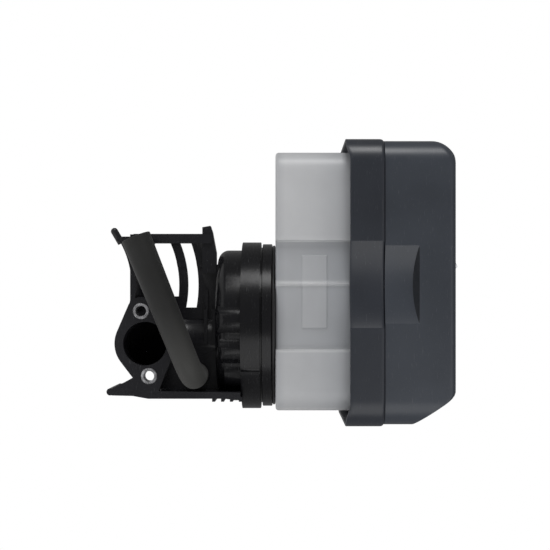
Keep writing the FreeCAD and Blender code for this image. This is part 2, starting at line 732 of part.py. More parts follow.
def grid_screws():
    """Four pan-head screws that hold the upper grid on the bosses."""
    top = upper_grid_z[1]
    screws = []
    for x, y in boss_places:
        shank = rod_z(x, y, (foam_top_z + grid_t - screw_len + screw_tip, top), screw_r - running_gap)
        head = turned([(0, top), (screw_head_r, top), (screw_head_r * 0.92, top + screw_head_h * 0.6),
                       (screw_head_r * 0.5, top + screw_head_h), (0, top + screw_head_h)], x, y)
        slot_box = box((x - screw_head_r, x + screw_head_r), (y - screw_slot_w / 2, y + screw_slot_w / 2),
                       (top + screw_head_h * 0.5, top + screw_head_h + past))
        screws.append(tidy(shank.fuse(head).cut(slot_box)))
    return Part.makeCompound(screws)


def chimney_seal():
    """Rubber ring on the upper grid that wipes the chimney."""
    z = (upper_grid_z[1], upper_grid_z[1] + chimney_seal_t)
    return ring_z(stud_x, stud_y, z, chimney_r + chimney_seal_w, chimney_r + running_gap)


def deck_gasket():
    """Thin rubber frame on the holder's lip that seals it to the cover's deck."""
    z = (holder_z[1], holder_z[1] + deck_gasket_t)
    outer = rounded_box(inset(holder_x, -holder_lip), inset(holder_y, -holder_lip), z,
                        holder_corner_r + holder_lip)
    inner = rounded_box(inset(holder_x, deck_gasket_in), inset(holder_y, deck_gasket_in), through(z),
                        holder_corner_r - deck_gasket_in)
    return tidy(outer.cut(inner))


def scoop(wall, low_z):
    """Concave finger scoop in the near wall; wall moves its surface inwards for the inside skin."""
    centre_y = cover_y[0] + scoop_depth - scoop_r
    body = rod_z(middle(scoop_x), centre_y, (low_z, scoop_top_z + wall), scoop_r + wall)
    start = V(middle(scoop_x) - scoop_r, cover_y[0], scoop_top_z + wall)
    far = 2 * scoop_depth
    corners = [start, start + V(0, far, -2 * scoop_slope), start + V(0, far, far), start + V(0, 0, far)]
    wedge = Part.Face(Part.makePolygon(corners + [start])).extrude(V(2 * scoop_r, 0, 0))
    return body.cut(wedge)


def air_cleaner_cover():
    """Skirt piece: outer skirt with a rounded shoulder, and the deck the cap closes onto."""
    outside = rounded_box(cover_x, cover_y, cover_z, cover_corner_r)
    top = [e for e in outside.Edges if e.BoundBox.ZMin > cover_z[1] - 0.01]
    outside = outside.makeFillet(cover_shoulder_r, top)
    inner_x = inset(cover_x, shell_wall)
    inner_y = inset(cover_y, shell_wall)
    inner_r = cover_corner_r - shell_wall
    below = rounded_box(inner_x, inner_y, (cover_z[0] - past, deck_z[0]), inner_r)
    above = rounded_box(inner_x, inner_y, (deck_z[1], cover_z[1] + past), inner_r)
    opening = rounded_box(deck_open_x, deck_open_y, through(deck_z), holder_corner_r)
    notch = box(inset(cover_x, cover_corner_r), (cover_y[0] - past, cover_y[1] + past),
                (cover_z[0] - past, cover_z[0] + skirt_notch))
    skin = scoop(shell_wall, cover_z[0] - past)
    body = outside.cut([below.cut(skin), above.cut(skin), opening])
    return tidy(body.cut([scoop(0.0, cover_z[0] - past), notch]))


def cap_seal():
    """Rubber frame in the corner between the cover's deck and its rim."""
    start = shell_wall + seat_gap
    z = (deck_z[1], cover_z[1] + seal_lip)
    outer = rounded_box(inset(cover_x, start), inset(cover_y, start), z, cover_corner_r - start)
    inner = rounded_box(inset(cover_x, start + seal_w), inset(cover_y, start + seal_w),
                        through(z), cover_corner_r - start - seal_w)
    behind = scoop_depth + start + seal_w
    near = box(inset(scoop_x, -seal_past_scoop), (cover_y[0], cover_y[0] + behind), through(z))
    centre_y = cover_y[0] + scoop_depth - scoop_r
    bridge = ring_z(middle(scoop_x), centre_y, z, scoop_r + start + seal_w, scoop_r + start)
    return tidy(outer.cut(inner).cut(near).fuse(bridge.common(near.common(outer))))


def cap_block(wall):
    """Outer form of the cap drawn in by wall: side outline, plan outline and rounded long edges."""
    x = inset(cap_x, wall)
    y = inset(cap_y, wall)
    z = (cap_z[0], cap_z[1] - wall)
    r_top = cap_top_r - wall
    a = V(x[0], y[0], z[0])
    b = V(x[0], y[0], z[1] - r_top)
    corner_mid = V(x[0] + r_top * (1 - math.cos(math.pi / 4)), y[0], z[1] - r_top * (1 - math.sin(math.pi / 4)))
    c = V(x[0] + r_top, y[0], z[1])
    d = V(x[1] - cap_chamfer_x + wall * (1 - (1 - slant_z) / slant_x), y[0], z[1])
    e = V(x[1], y[0], z[1] - cap_chamfer_z + wall * (1 - (1 - slant_x) / slant_z))
    f = V(x[1], y[0], z[0])
    edges = [Part.makeLine(a, b), Part.Arc(b, corner_mid, c).toShape(), Part.makeLine(c, d),
             Part.makeLine(d, e), Part.makeLine(e, f), Part.makeLine(f, a)]
    side = Part.Face(Part.Wire(edges)).extrude(V(0, y[1] - y[0], 0))
    slanted = [g for g in side.Edges if g.BoundBox.XLength + g.BoundBox.ZLength < past
               and g.BoundBox.XMin > d.x - past and g.BoundBox.ZMin > e.z - past]
    side = side.makeFillet(cap_chamfer_r - wall, slanted)
    plan = rounded_box(x, y, through(z), cap_corner_r - wall)
    end = box(x, y, z)
    long_top = [g for g in end.Edges if g.BoundBox.ZMin > z[0] + past and g.BoundBox.XLength > past]
    end = end.makeFillet(cap_edge_r - wall, long_top)
    return side.common(plan).common(end)


def air_cleaner_cap():
    """Deep cap with one chamfered shoulder, the finger scoop, a well for the wing nut and ribs."""
    outside = cap_block(0.0)
    inside = cap_block(shell_wall)
    well_skin = rod_z(stud_x, stud_y, (well_floor_z - shell_wall, cap_top_z), well_r + shell_wall)
    ribs = []
    for step in range(4):
        angle = 45 + 90 * step
        rib = box((well_r, well_r + cap_rib_reach), (-cap_rib_t / 2, cap_rib_t / 2), (-cap_rib_h, 0))
        rib.rotate(V(0, 0, 0), V(0, 0, 1), angle)
        rib.translate(V(stud_x, stud_y, cap_top_z - shell_wall / 2))
        ribs.append(rib)
    inside = inside.cut([well_skin, scoop(shell_wall, cap_z[0] - past)] + ribs)
    body = outside.cut(inside)
    body = body.cut([scoop(0.0, cap_z[0] - past), rod_z(stud_x, stud_y, (well_floor_z, cap_top_z + past), well_r)])
    return tidy(body.cut(rod_z(stud_x, stud_y, through((well_floor_z - shell_wall, well_floor_z)), grommet_r)))


def stud_grommet():
    """Rubber grommet in the cap's centre hole, flanged on top."""
    low = well_floor_z - shell_wall - grommet_past_wall
    body = rod_z(stud_x, stud_y, (low, washer_base_z), grommet_r)
    body = body.fuse(rod_z(stud_x, stud_y, (well_floor_z, washer_base_z), grommet_flange_r))
    return tidy(body.cut(rod_z(stud_x, stud_y, through((low, washer_base_z)), stud_r + running_gap)))


def nut_washer():
    """Flat washer under the wing nut."""
    z = (washer_base_z, washer_base_z + nut_washer_t)
    return ring_z(stud_x, stud_y, z, nut_washer_r, stud_r + running_gap)


def wing_nut():
    """Wing nut: tapered hub and two upright wings with rounded tips."""
    top = nut_base_z + nut_h
    shape = turned([(0, nut_base_z), (nut_base_r, nut_base_z), (nut_top_r, top), (0, top)], stud_x, stud_y)
    outline = [(reach, nut_base_z + up) for reach, up in wing_low]
    outline += [(wing_reach - back, wing_tip_z - down) for back, down in wing_tip]
    outline += [(reach, top - down) for reach, down in wing_root]
    for side in (-1, 1):
        wing = outline_xz([(side * reach, z) for reach, z in outline], (-wing_t / 2, wing_t / 2))
        wing.rotate(V(0, 0, 0), V(0, 0, 1), wing_turn)
        wing.translate(V(stud_x, stud_y, 0))
        shape = shape.fuse(wing)
    return tidy(shape.cut(rod_z(stud_x, stud_y, through((nut_base_z, top)), stud_r + running_gap)))


nodes = {
    "intake_duct": intake_duct,
    "drum": drum,
    "bottom_bracket": bottom_bracket,
    "side_bracket": side_bracket,
    "control_panel": control_panel,
    "flange_collars": flange_collars,
    "centre_stud": centre_stud,
    "stud_washer": stud_washer,
    "stud_lock_nut": stud_lock_nut,
    "seat_ring": seat_ring,
    "seat_gasket": seat_gasket,
    "breather_tube": breather_tube,
    "oil_bowl": oil_bowl,
    "element_holder": element_holder,
    "lower_grid": lambda: grid_plate(lower_grid_z, False),
    "filter_element": filter_element,
    "upper_grid": lambda: grid_plate(upper_grid_z, True),
    "grid_screws": grid_screws,
    "chimney_seal": chimney_seal,
    "deck_gasket": deck_gasket,
    "air_cleaner_cover": air_cleaner_cover,
    "cap_seal": cap_seal,
    "air_cleaner_cap": air_cleaner_cap,
    "stud_grommet": stud_grommet,
    "nut_washer": nut_washer,
    "wing_nut": wing_nut,
}

os.makedirs("parts", exist_ok=True)
for name, make in nodes.items():
    shape = make()
    shape.exportStep("parts/" + name + ".step")
    valid = all(s.isValid() and s.isClosed() for s in shape.Solids)
    print(name, len(shape.Solids), valid, round(shape.Volume))
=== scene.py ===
"""Air filter housing: the looks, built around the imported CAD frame.

Laid out as a Blender add-on and run as a script. Lengths are metres, in the frame's own axes.
"""
import json
import math
from types import SimpleNamespace

import bmesh
import bpy
import numpy as np
from bpy.props import FloatProperty, FloatVectorProperty, PointerProperty
from mathutils import Matrix, Vector


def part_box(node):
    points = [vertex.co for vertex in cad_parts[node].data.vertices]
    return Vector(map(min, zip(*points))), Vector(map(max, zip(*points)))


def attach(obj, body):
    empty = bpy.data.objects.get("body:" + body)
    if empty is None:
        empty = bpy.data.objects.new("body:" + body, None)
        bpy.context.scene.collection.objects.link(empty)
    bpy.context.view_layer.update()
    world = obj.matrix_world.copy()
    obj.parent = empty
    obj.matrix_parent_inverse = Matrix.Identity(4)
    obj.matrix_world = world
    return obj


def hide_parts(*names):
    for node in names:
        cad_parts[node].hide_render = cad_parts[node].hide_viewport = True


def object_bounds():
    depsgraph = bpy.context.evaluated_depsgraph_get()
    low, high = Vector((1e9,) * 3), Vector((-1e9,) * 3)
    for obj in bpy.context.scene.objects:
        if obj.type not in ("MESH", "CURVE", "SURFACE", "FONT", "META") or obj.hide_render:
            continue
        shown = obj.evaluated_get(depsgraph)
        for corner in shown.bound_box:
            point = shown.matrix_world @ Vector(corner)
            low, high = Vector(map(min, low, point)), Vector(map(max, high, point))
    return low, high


bl_info = {
    "name": "Air Filter Housing",
    "version": (1, 0, 0),
    "blender": (4, 5, 0),
    "location": "View3D > Sidebar > Air Filter",
    "description": "Builds an oil-bath air filter housing: shells, rubber parts, metal parts and finishes",
    "category": "Object",
}

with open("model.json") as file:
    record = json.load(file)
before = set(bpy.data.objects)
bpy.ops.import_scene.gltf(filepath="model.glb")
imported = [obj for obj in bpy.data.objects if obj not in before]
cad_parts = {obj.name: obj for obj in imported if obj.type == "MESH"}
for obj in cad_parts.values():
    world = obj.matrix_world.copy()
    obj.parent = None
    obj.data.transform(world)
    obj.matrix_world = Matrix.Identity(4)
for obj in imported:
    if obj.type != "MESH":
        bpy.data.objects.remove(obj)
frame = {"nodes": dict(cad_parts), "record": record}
cad_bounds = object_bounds()

MM = 0.001
TOUCH = 0.05 * MM  # room between the stud and the rings round it
EDGE_COLUMNS = 0.5 * MM  # reach of the extra columns beside a shell feature's edge
LONG_STEPS, END_STEPS, CORNER_STEPS = 80, 30, 11  # columns on a plan's long sides, ends and corners

# Painted shade on the bowl: heights above the bowl's floor in metres, each with how bright the plastic is
# painted there, darker at the foot and darker still up under the cover's skirt.
BOWL_SHADE_BY_HEIGHT = ((0.0, 0.82), (0.006, 1.0), (0.0157, 0.96), (0.0273, 0.90), (0.035, 0.82), (0.044, 0.74),
              (0.060, 0.74))

# Each light's name, place, width and power in watts, and the point they all face.
LIGHTS = (("key_light", (0.62, -0.75, 0.30), 0.9, 3.2),
          ("fill_light", (-0.95, -0.35, 0.2), 0.35, 3.2),
          ("low_light", (0.1, -0.9, 0.9), 0.6, 0.8))
LIGHT_TARGET = (0, 0.03, 0.09)


# ---------------------------------------------------------------- sizes and colours

def length(name, description, millimetres):
    """A length property, given in millimetres and kept in metres."""
    return FloatProperty(name=name, description=description, default=millimetres * MM, min=0.0,
                         subtype="DISTANCE", unit="LENGTH", precision=5)


def camera_place(axis, metres):
    """One coordinate of the camera's place."""
    return FloatProperty(name=f"Camera {axis}", description=f"Camera place along {axis}",
                         default=metres, unit="LENGTH")


def colour(name, description, rgb):
    """A colour property in linear light."""
    return FloatVectorProperty(name=name, description=description, default=rgb, size=3,
                               min=0.0, max=1.0, subtype="COLOR")


class ShellSizes(bpy.types.PropertyGroup):
    """Sizes of the cap, the cover and the finger scoop they share."""
    wall: length("Wall", "Thickness of the moulded walls", 2.4)
    corner: length("Corner radius", "Radius of the cover's upright corners", 17.0)
    cap_inset: length("Cap inset", "How far the cap's side stands inside the cover's", 1.3)
    top_round: length("Top rounding", "Rounding between the cap's sides and its top", 4.0)
    low_round: length("Low end rounding", "Rounding of the top edge at the low end", 14.0)
    chamfer_rise: length("Chamfer rise", "Height of the chamfer at the high end", 26.0)
    chamfer_run: length("Chamfer run", "Width of the chamfer at the high end", 18.9)
    chamfer_ease: length("Chamfer easing", "How far the chamfer's corners are rounded", 3.0)
    skirt_notch: length("Skirt notch", "How much shorter the skirt is along its long sides", 2.4)
    shoulder: length("Shoulder", "Rounding of the cover's top edge", 2.2)
    scoop_low: length("Scoop start", "From the cover's low end to the scoop", 66.7)
    scoop_width: length("Scoop width", "Width of the finger scoop", 55.2)
    scoop_depth: length("Scoop depth", "Depth of the finger scoop", 6.6)
    scoop_rise: length("Scoop rise", "How far the scoop climbs above the seam", 22.0)
    scoop_slope: length("Scoop slope", "Fall of the scoop's end wall over its depth", 4.5)
    well_radius: length("Well radius", "Radius of the well around the wing nut", 20.5)
    well_depth: length("Well depth", "Depth of the well around the wing nut", 5.0)
    well_round: length("Well rounding", "Rounding at the foot of the well", 1.2)
    hole_radius: length("Hole radius", "Radius of the grommet's hole", 7.0)
    deck_thickness: length("Deck thickness", "Thickness of the cover's deck", 2.3)
    deck_drop: length("Deck drop", "From the cover's top edge down to the deck", 4.4)
    deck_margin: length("Deck margin", "How far the deck reaches inside the deck gasket's outline", 9.0)


class BowlSizes(bpy.types.PropertyGroup):
    """Sizes of the oil bowl and the features on its near wall."""
    wall: length("Wall", "Thickness of the bowl's wall", 2.2)
    corner: length("Corner radius", "Radius of the bowl's upright corners", 14.0)
    foot: length("Foot radius", "Rounding between the wall and the floor", 2.0)
    bay_low: length("Bay start", "From the bowl's low end to the recessed bay", 57.8)
    bay_width: length("Bay width", "Width of the recessed bay", 70.0)
    bay_depth: length("Bay depth", "Depth of the recessed bay", 3.0)
    rib_from_low: length("Rib place", "From the bowl's low end to the upright rib", 85.3)
    rib_width: length("Rib width", "Width of the upright rib", 1.6)
    rib_proud: length("Rib height", "How far the rib stands out of the bay", 1.0)
    label_low: length("Label start", "From the bowl's low end to the label plate", 67.1)
    label_length: length("Label length", "Length of the blank label plate", 46.7)
    label_rise: length("Label rise", "From the floor to the label plate", 17.0)
    label_height: length("Label height", "Height of the blank label plate", 16.0)
    label_proud: length("Label thickness", "How far the label plate stands proud", 0.7)
    chimney_bore: length("Chimney bore", "Inner radius of the chimney", 18.0)
    chimney_wall: length("Chimney wall", "Wall thickness of the chimney", 2.2)
    chimney_past_rim: length("Chimney past rim", "How far the chimney stands above the rim", 3.4)


class TubeSizes(bpy.types.PropertyGroup):
    """Sizes of the moulded breather tube."""
    radius_low: length("Low radius", "Outer radius at the bend", 8.1)
    radius_free: length("Free radius", "Outer radius at the open end", 9.4)
    nipple_bore: length("Nipple bore", "Inner radius at the open end", 4.7)
    nipple_depth: length("Nipple depth", "Depth of the wider bore at the open end", 22.0)
    bore: length("Bore radius", "Inner radius of the tube", 4.5)
    bend: length("Bend radius", "Centre-line radius of the bend", 12.5)
    rim: length("Rim rounding", "Rounding of the tube's two rims", 0.7)


class MetalSizes(bpy.types.PropertyGroup):
    """Sizes of the threaded stud, the turned parts and the seat."""
    stud_radius: length("Stud radius", "Outer radius of the centre stud", 2.95)
    pitch: length("Thread pitch", "Pitch of the stud's thread", 1.0)
    thread_depth: length("Thread depth", "Depth of the stud's thread", 0.45)
    thread_length: length("Thread length", "Length of the threaded ends", 26.0)
    edge: length("Edge", "Chamfer on turned edges", 0.35)
    spigot_inset: length("Spigot inset", "From the seat ring's rim in to its spigot", 7.1)
    spigot_wall: length("Spigot wall", "Wall thickness of the seat ring's spigot", 1.6)
    groove_height: length("Groove height", "Height of the groove over the drum's rim", 1.2)
    groove_depth: length("Groove depth", "Depth of the groove over the drum's rim", 2.4)
    bead: length("Gasket bead", "Radius of the bead round the seat gasket", 0.9)


class Finishes(bpy.types.PropertyGroup):
    """Colours of the finishes, in linear light."""
    cap: colour("Cap plastic", "Slate-grey plastic of the cap", (0.049, 0.056, 0.070))
    cover: colour("Cover plastic", "Slate-grey plastic of the cover", (0.030, 0.034, 0.044))
    elbow: colour("Elbow plastic", "Black plastic of the elbow", (0.017, 0.017, 0.02))
    bowl: colour("Bowl plastic", "Natural plastic of the bowl", (0.80, 0.807, 0.822))
    tube: colour("Tube rubber", "Rubber of the breather tube", (0.0085, 0.0085, 0.008))
    seal: colour("Seal rubber", "Rubber of the seals and gaskets", (0.012, 0.012, 0.013))
    inner: colour("Inner plastic", "Plastic of the element holder and grids", (0.16, 0.165, 0.17))
    foam: colour("Foam", "Open-cell foam", (0.10, 0.105, 0.11))
    zinc: colour("Zinc plate", "Zinc-plated steel", (0.62, 0.62, 0.64))
    floor: colour("Floor", "Pale floor", (0.93, 0.93, 0.93))


class StageSizes(bpy.types.PropertyGroup):
    """Where the camera stands, how the floor lies and how bright the room is."""
    camera_x: camera_place("X", -0.026)
    camera_y: camera_place("Y", -0.700)
    camera_z: camera_place("Z", 0.091)
    lens: FloatProperty(name="Lens", description="Focal length on a 36 mm sensor", default=71.5,
                        unit="CAMERA")
    shift_x: FloatProperty(name="Shift X", description="Lens shift across the frame", default=-0.0218)
    shift_y: FloatProperty(name="Shift Y", description="Lens shift up the frame", default=0.0509)
    floor_gap: length("Floor gap", "Room between the housing and the floor", 330.0)
    floor_half: length("Floor size", "Half the width of the floor", 900.0)
    floor_shift: length("Floor shift", "How far the floor's middle lies along Y", 50.0)
    room_light: FloatProperty(name="Room light", description="Strength of the light from all around",
                              default=0.2, min=0.0)


# ---------------------------------------------------------------- places from the frame

def low_high(node):
    """The lowest and highest corner of a CAD node as two arrays."""
    low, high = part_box(node)
    return np.array(low), np.array(high)


def span(node, axis):
    """The low and high value of a CAD node along one axis."""
    low, high = low_high(node)
    return float(low[axis]), float(high[axis])


def centre_xy(node):
    """The middle of a CAD node in X and Y."""
    low, high = low_high(node)
    return (low[:2] + high[:2]) / 2


def plan_box(node):
    """The low and high values of a CAD node in X, and those in Y."""
    low, high = low_high(node)
    return (low[0], high[0]), (low[1], high[1])


def inset(pair, by):
    """A span drawn in by the same amount at both ends."""
    return (pair[0] + by, pair[1] - by)


# ---------------------------------------------------------------- mesh helpers

def linked(name, data):
    """Object of the given data, linked into the scene."""
    made = bpy.data.objects.new(name, data)
    bpy.context.scene.collection.objects.link(made)
    return made


def grid_quads(index):
    """Quads between the neighbouring rows and columns of a grid of vertex numbers."""
    corners = (index[:-1, :-1], index[:-1, 1:], index[1:, 1:], index[1:, :-1])
    return np.stack(corners, axis=-1).reshape(-1, 4)


def grid_object(name, points, around=True, along=False, smooth_angle=35.0):
    """Mesh object from a grid of points (rows, columns, 3); around and along close the two directions."""
    rows, cols = points.shape[:2]
    index = np.arange(rows * cols).reshape(rows, cols)
    if around:
        index = np.concatenate([index, index[:, :1]], axis=1)
    if along:
        index = np.concatenate([index, index[:1]], axis=0)
    return quad_object(name, points.reshape(-1, 3), grid_quads(index), smooth_angle)


def quad_object(name, points, quads, smooth_angle):
    """Mesh object from points and quads, with edges sharp past smooth_angle.

    The winding is turned over where the signed volume is negative, so faces point outwards.
    """
    a, b, c, d = (points[quads[:, i]] for i in range(4))
    volume = np.sum(a * np.cross(b, c)) + np.sum(a * np.cross(c, d))
    if volume < 0:
        quads = quads[:, ::-1]
    mesh = bpy.data.meshes.new(name)
    mesh.vertices.add(len(points))
    mesh.vertices.foreach_set("co", points.astype(np.float32).ravel())
    mesh.loops.add(quads.size)
    mesh.loops.foreach_set("vertex_index", quads.astype(np.int32).ravel())
    mesh.polygons.add(len(quads))
    mesh.polygons.foreach_set("loop_start", np.arange(0, quads.size, 4, dtype=np.int32))
    mesh.polygons.foreach_set("loop_total", np.full(len(quads), 4, dtype=np.int32))
    mesh.update(calc_edges=True)
    mesh.validate()
    smooth(mesh, smooth_angle)
    return linked(name, mesh)


def smooth(mesh, angle):
    """Shade smooth, with edges sharper than angle in degrees kept crisp."""
    mesh.polygons.foreach_set("use_smooth", np.ones(len(mesh.polygons), dtype=bool))
    mesh.set_sharp_from_angle(angle=math.radians(angle))
    mesh.update()


def place(piece, body, slot, material, *nodes):
    """Put a finished piece on its body, in place of CAD nodes, with its material. The slot is not used."""
    piece.data.materials.clear()
    piece.data.materials.append(material)
    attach(piece, body)
    if nodes:
        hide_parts(*nodes)
    return piece


def softened_copy(node, name, width, segments=2, angle=28.0):
    """Copy of a CAD node with its seams merged, flat faces joined and its edges rounded by width."""
    mesh = frame["nodes"][node].data.copy()
    mesh.name = name
    work = bmesh.new()
    work.from_mesh(mesh)
    bmesh.ops.remove_doubles(work, verts=work.verts, dist=2e-6)
    bmesh.ops.dissolve_limit(work, angle_limit=math.radians(0.6), verts=work.verts, edges=work.edges)
    work.to_mesh(mesh)
    work.free()
    piece = linked(name, mesh)
    smooth(mesh, angle)
    bevel = piece.modifiers.new("rounded edges", "BEVEL")
    bevel.width = width
    bevel.segments = segments
    bevel.limit_method = "ANGLE"
    bevel.angle_limit = math.radians(angle)
    bevel.harden_normals = True
    return piece


def about_axis(centre, r, z, angle):
    """Points at radius r and height z around an upright axis."""
    return np.stack([centre[0] + r * np.cos(angle), centre[1] + r * np.sin(angle), z + 0 * angle], axis=-1)


def turned_object(name, profile, centre, steps=96, smooth_angle=35.0):
    """Surface of revolution about an upright axis: profile rows are radius and height, and close."""
    profile = np.asarray(profile, float)
    angle = np.linspace(0, 2 * np.pi, steps, endpoint=False)
    points = about_axis(centre, profile[:, :1], profile[:, 1:], angle)
    return grid_object(name, points, along=True, smooth_angle=smooth_angle)


def arc_rows(centre, radius, start, end, count):
    """Points of an arc in the radius-height plane, angles in degrees."""
    a = np.radians(np.linspace(start, end, count))
    return np.stack([centre[0] + radius * np.cos(a), centre[1] + radius * np.sin(a)], axis=-1)


def rounded_loop(x, y, r, along_near, along_end, corner_steps):
    """Rounded rectangle as a closed loop of X and Y, anticlockwise from the near side.

    along_near holds the fractions sampled on both long sides, along_end those on the two ends;
    the corners are quarter circles.
    """
    xa, xb, ya, yb = x[0] + r, x[1] - r, y[0] + r, y[1] - r
    turn = np.linspace(0, np.pi / 2, corner_steps + 2)[1:-1]

    def corner(cx, cy, start):
        return np.stack([cx + r * np.cos(start + turn), cy + r * np.sin(start + turn)], axis=-1)

    near = np.stack([xa + along_near * (xb - xa), 0 * along_near + y[0]], axis=-1)
    high = np.stack([0 * along_end + x[1], ya + along_end * (yb - ya)], axis=-1)
    far = np.stack([xb - along_near * (xb - xa), 0 * along_near + y[1]], axis=-1)
    low = np.stack([0 * along_end + x[0], yb - along_end * (yb - ya)], axis=-1)
    return np.concatenate([near, corner(xb, ya, -np.pi / 2), high, corner(xb, yb, 0.0),
                           far, corner(xa, yb, np.pi / 2), low, corner(xa, ya, np.pi)])


def side_fractions(x, r, steps, features, width):
    """Evenly spaced fractions of a long side, with extra ones close to each feature's edge."""
    xa, xb = x[0] + r, x[1] - r
    extra = [f + k * width for f in features for k in (-1.5, -0.75, -0.25, 0.25, 0.75, 1.5)]
    places = np.concatenate([np.linspace(xa, xb, steps), extra])
    return (np.unique(np.round(places, 7)) - xa) / (xb - xa)


def smooth_max(a, b, k):
    """Maximum of two arrays with the corner between them rounded over k."""
    h = np.maximum(k - np.abs(a - b), 0.0) / k
    return np.maximum(a, b) + h * h * k / 4


def smooth_step(t):
    """Values from nought to one, eased at both ends."""
    return t * t * (3 - 2 * t)


def step_between(x, low, high, soft):
    """One between low and high, nothing outside, with edges eased over soft."""
    rise = np.clip((x - low) / soft + 0.5, 0, 1)
    fall = np.clip((high - x) / soft + 0.5, 0, 1)
    return smooth_step(np.minimum(rise, fall))


def paint(piece, name, values, domain="POINT"):
    """Store one value for each vertex or face as a named attribute."""
    attribute = piece.data.attributes.new(name, "FLOAT", domain)
    attribute.data.foreach_set("value", np.asarray(values, np.float32))


# ---------------------------------------------------------------- finishes

def node_at(tree, kind, x, y, **values):
    """Add a shader node and set its named inputs or attributes."""
    node = tree.nodes.new(kind)
    node.location = (x, y)
    for key, value in values.items():
        if key in node.inputs:
            node.inputs[key].default_value = value
        else:
            setattr(node, key, value)
    return node


def new_material(name):
    """Node material with an output and a Principled shader, and the piece's own coordinates."""
    material = bpy.data.materials.new(name)
    material.use_nodes = True
    tree = material.node_tree
    tree.nodes.clear()
    out = node_at(tree, "ShaderNodeOutputMaterial", 600, 0)
    shader = node_at(tree, "ShaderNodeBsdfPrincipled", 300, 0)
    tree.links.new(shader.outputs["BSDF"], out.inputs["Surface"])
    coords = node_at(tree, "ShaderNodeTexCoord", -1300, 0).outputs["Object"]
    return material, tree, shader, coords


def noise(tree, coords, scale, detail, x, y, rough=0.5, distortion=0.0):
    """Noise texture read from the given coordinates."""
    node = node_at(tree, "ShaderNodeTexNoise", x, y, Scale=scale, Detail=detail, Roughness=rough,
                   Distortion=distortion)
    tree.links.new(coords, node.inputs["Vector"])
    return node


def ramp(tree, source, stops, x, y):
    """Colour ramp from grey levels or colours at given places."""
    node = node_at(tree, "ShaderNodeValToRGB", x, y)
    elements = node.color_ramp.elements
    while len(elements) < len(stops):
        elements.new(0.5)
    for element, (position, value) in zip(elements, stops):
        element.position = position
        level = value if isinstance(value, (tuple, list)) else (value, value, value)
        element.color = (*level, 1.0)
    tree.links.new(source, node.inputs["Fac"])
    return node


def mixed(tree, factor, a, b, x, y, blend="MIX"):
    """Colour mix of two sockets or colours."""
    node = node_at(tree, "ShaderNodeMix", x, y, data_type="RGBA", blend_type=blend)
    if hasattr(factor, "is_output"):
        tree.links.new(factor, node.inputs[0])
    else:
        node.inputs[0].default_value = factor
    for socket, value in ((node.inputs[6], a), (node.inputs[7], b)):
        if hasattr(value, "is_output"):
            tree.links.new(value, socket)
        else:
            socket.default_value = (*value, 1.0)
    return node.outputs[2]


def add_bump(tree, shader, height, strength, distance):
    """Bump from a height socket on the shader's normal."""
    bump = node_at(tree, "ShaderNodeBump", 0, -300, Strength=strength, Distance=distance)
    tree.links.new(height, bump.inputs["Height"])
    tree.links.new(bump.outputs["Normal"], shader.inputs["Normal"])


def scaled(rgb, by):
    """A colour made lighter or darker."""
    return tuple(min(1.0, c * by) for c in rgb)


def moulded_plastic(name, rgb, roughness, dust_and_painted_light, grain=2600.0, gloss=0.5):
    """Moulded plastic: fine spark-eroded grain, slow cloudy tone, a few pale scuffs, pale dusty specks, and
    painted shade where the piece has a shade attribute.
    """
    material, tree, shader, coords = new_material(name)
    cloud = noise(tree, coords, 14.0, 3.0, -1000, 300)
    tone = ramp(tree, cloud.outputs["Fac"], ((0.3, scaled(rgb, 0.82)), (0.7, scaled(rgb, 1.18))), -750, 300)
    speck = noise(tree, coords, 900.0, 2.0, -1000, 0)
    specks = ramp(tree, speck.outputs["Fac"], ((0.70, 0.0), (0.76, dust_and_painted_light)), -750, 0)
    tint = mixed(tree, specks.outputs["Color"], tone.outputs["Color"], (0.35, 0.36, 0.38), -450, 250)
    scratch_space = node_at(tree, "ShaderNodeMapping", -1150, -300, Scale=(60.0, 60.0, 700.0),
                            Rotation=(0.3, 0.2, 0.5))
    tree.links.new(coords, scratch_space.inputs["Vector"])
    scratch = noise(tree, scratch_space.outputs["Vector"], 3.0, 2.0, -950, -300)
    scuffs = ramp(tree, scratch.outputs["Fac"], ((0.66, 0.0), (0.72, 0.12)), -750, -300)
    tint = mixed(tree, scuffs.outputs["Color"], tint, (0.30, 0.30, 0.312), -250, 200)
    # Painted shade: darker where the piece's shade attribute is set.
    painted = node_at(tree, "ShaderNodeAttribute", -450, 550, attribute_name="shade")
    tint = mixed(tree, painted.outputs["Fac"], tint, scaled(rgb, 0.25), -50, 300)
    tree.links.new(tint, shader.inputs["Base Color"])
    wear = ramp(tree, cloud.outputs["Fac"], ((0.25, roughness - 0.06), (0.75, roughness + 0.08)), -450, -50)
    tree.links.new(wear.outputs["Color"], shader.inputs["Roughness"])
    grain_tex = noise(tree, coords, grain, 2.0, -450, -450)
    add_bump(tree, shader, grain_tex.outputs["Fac"], 0.5, 0.00004)
    shader.inputs["Specular IOR Level"].default_value = gloss
    return material


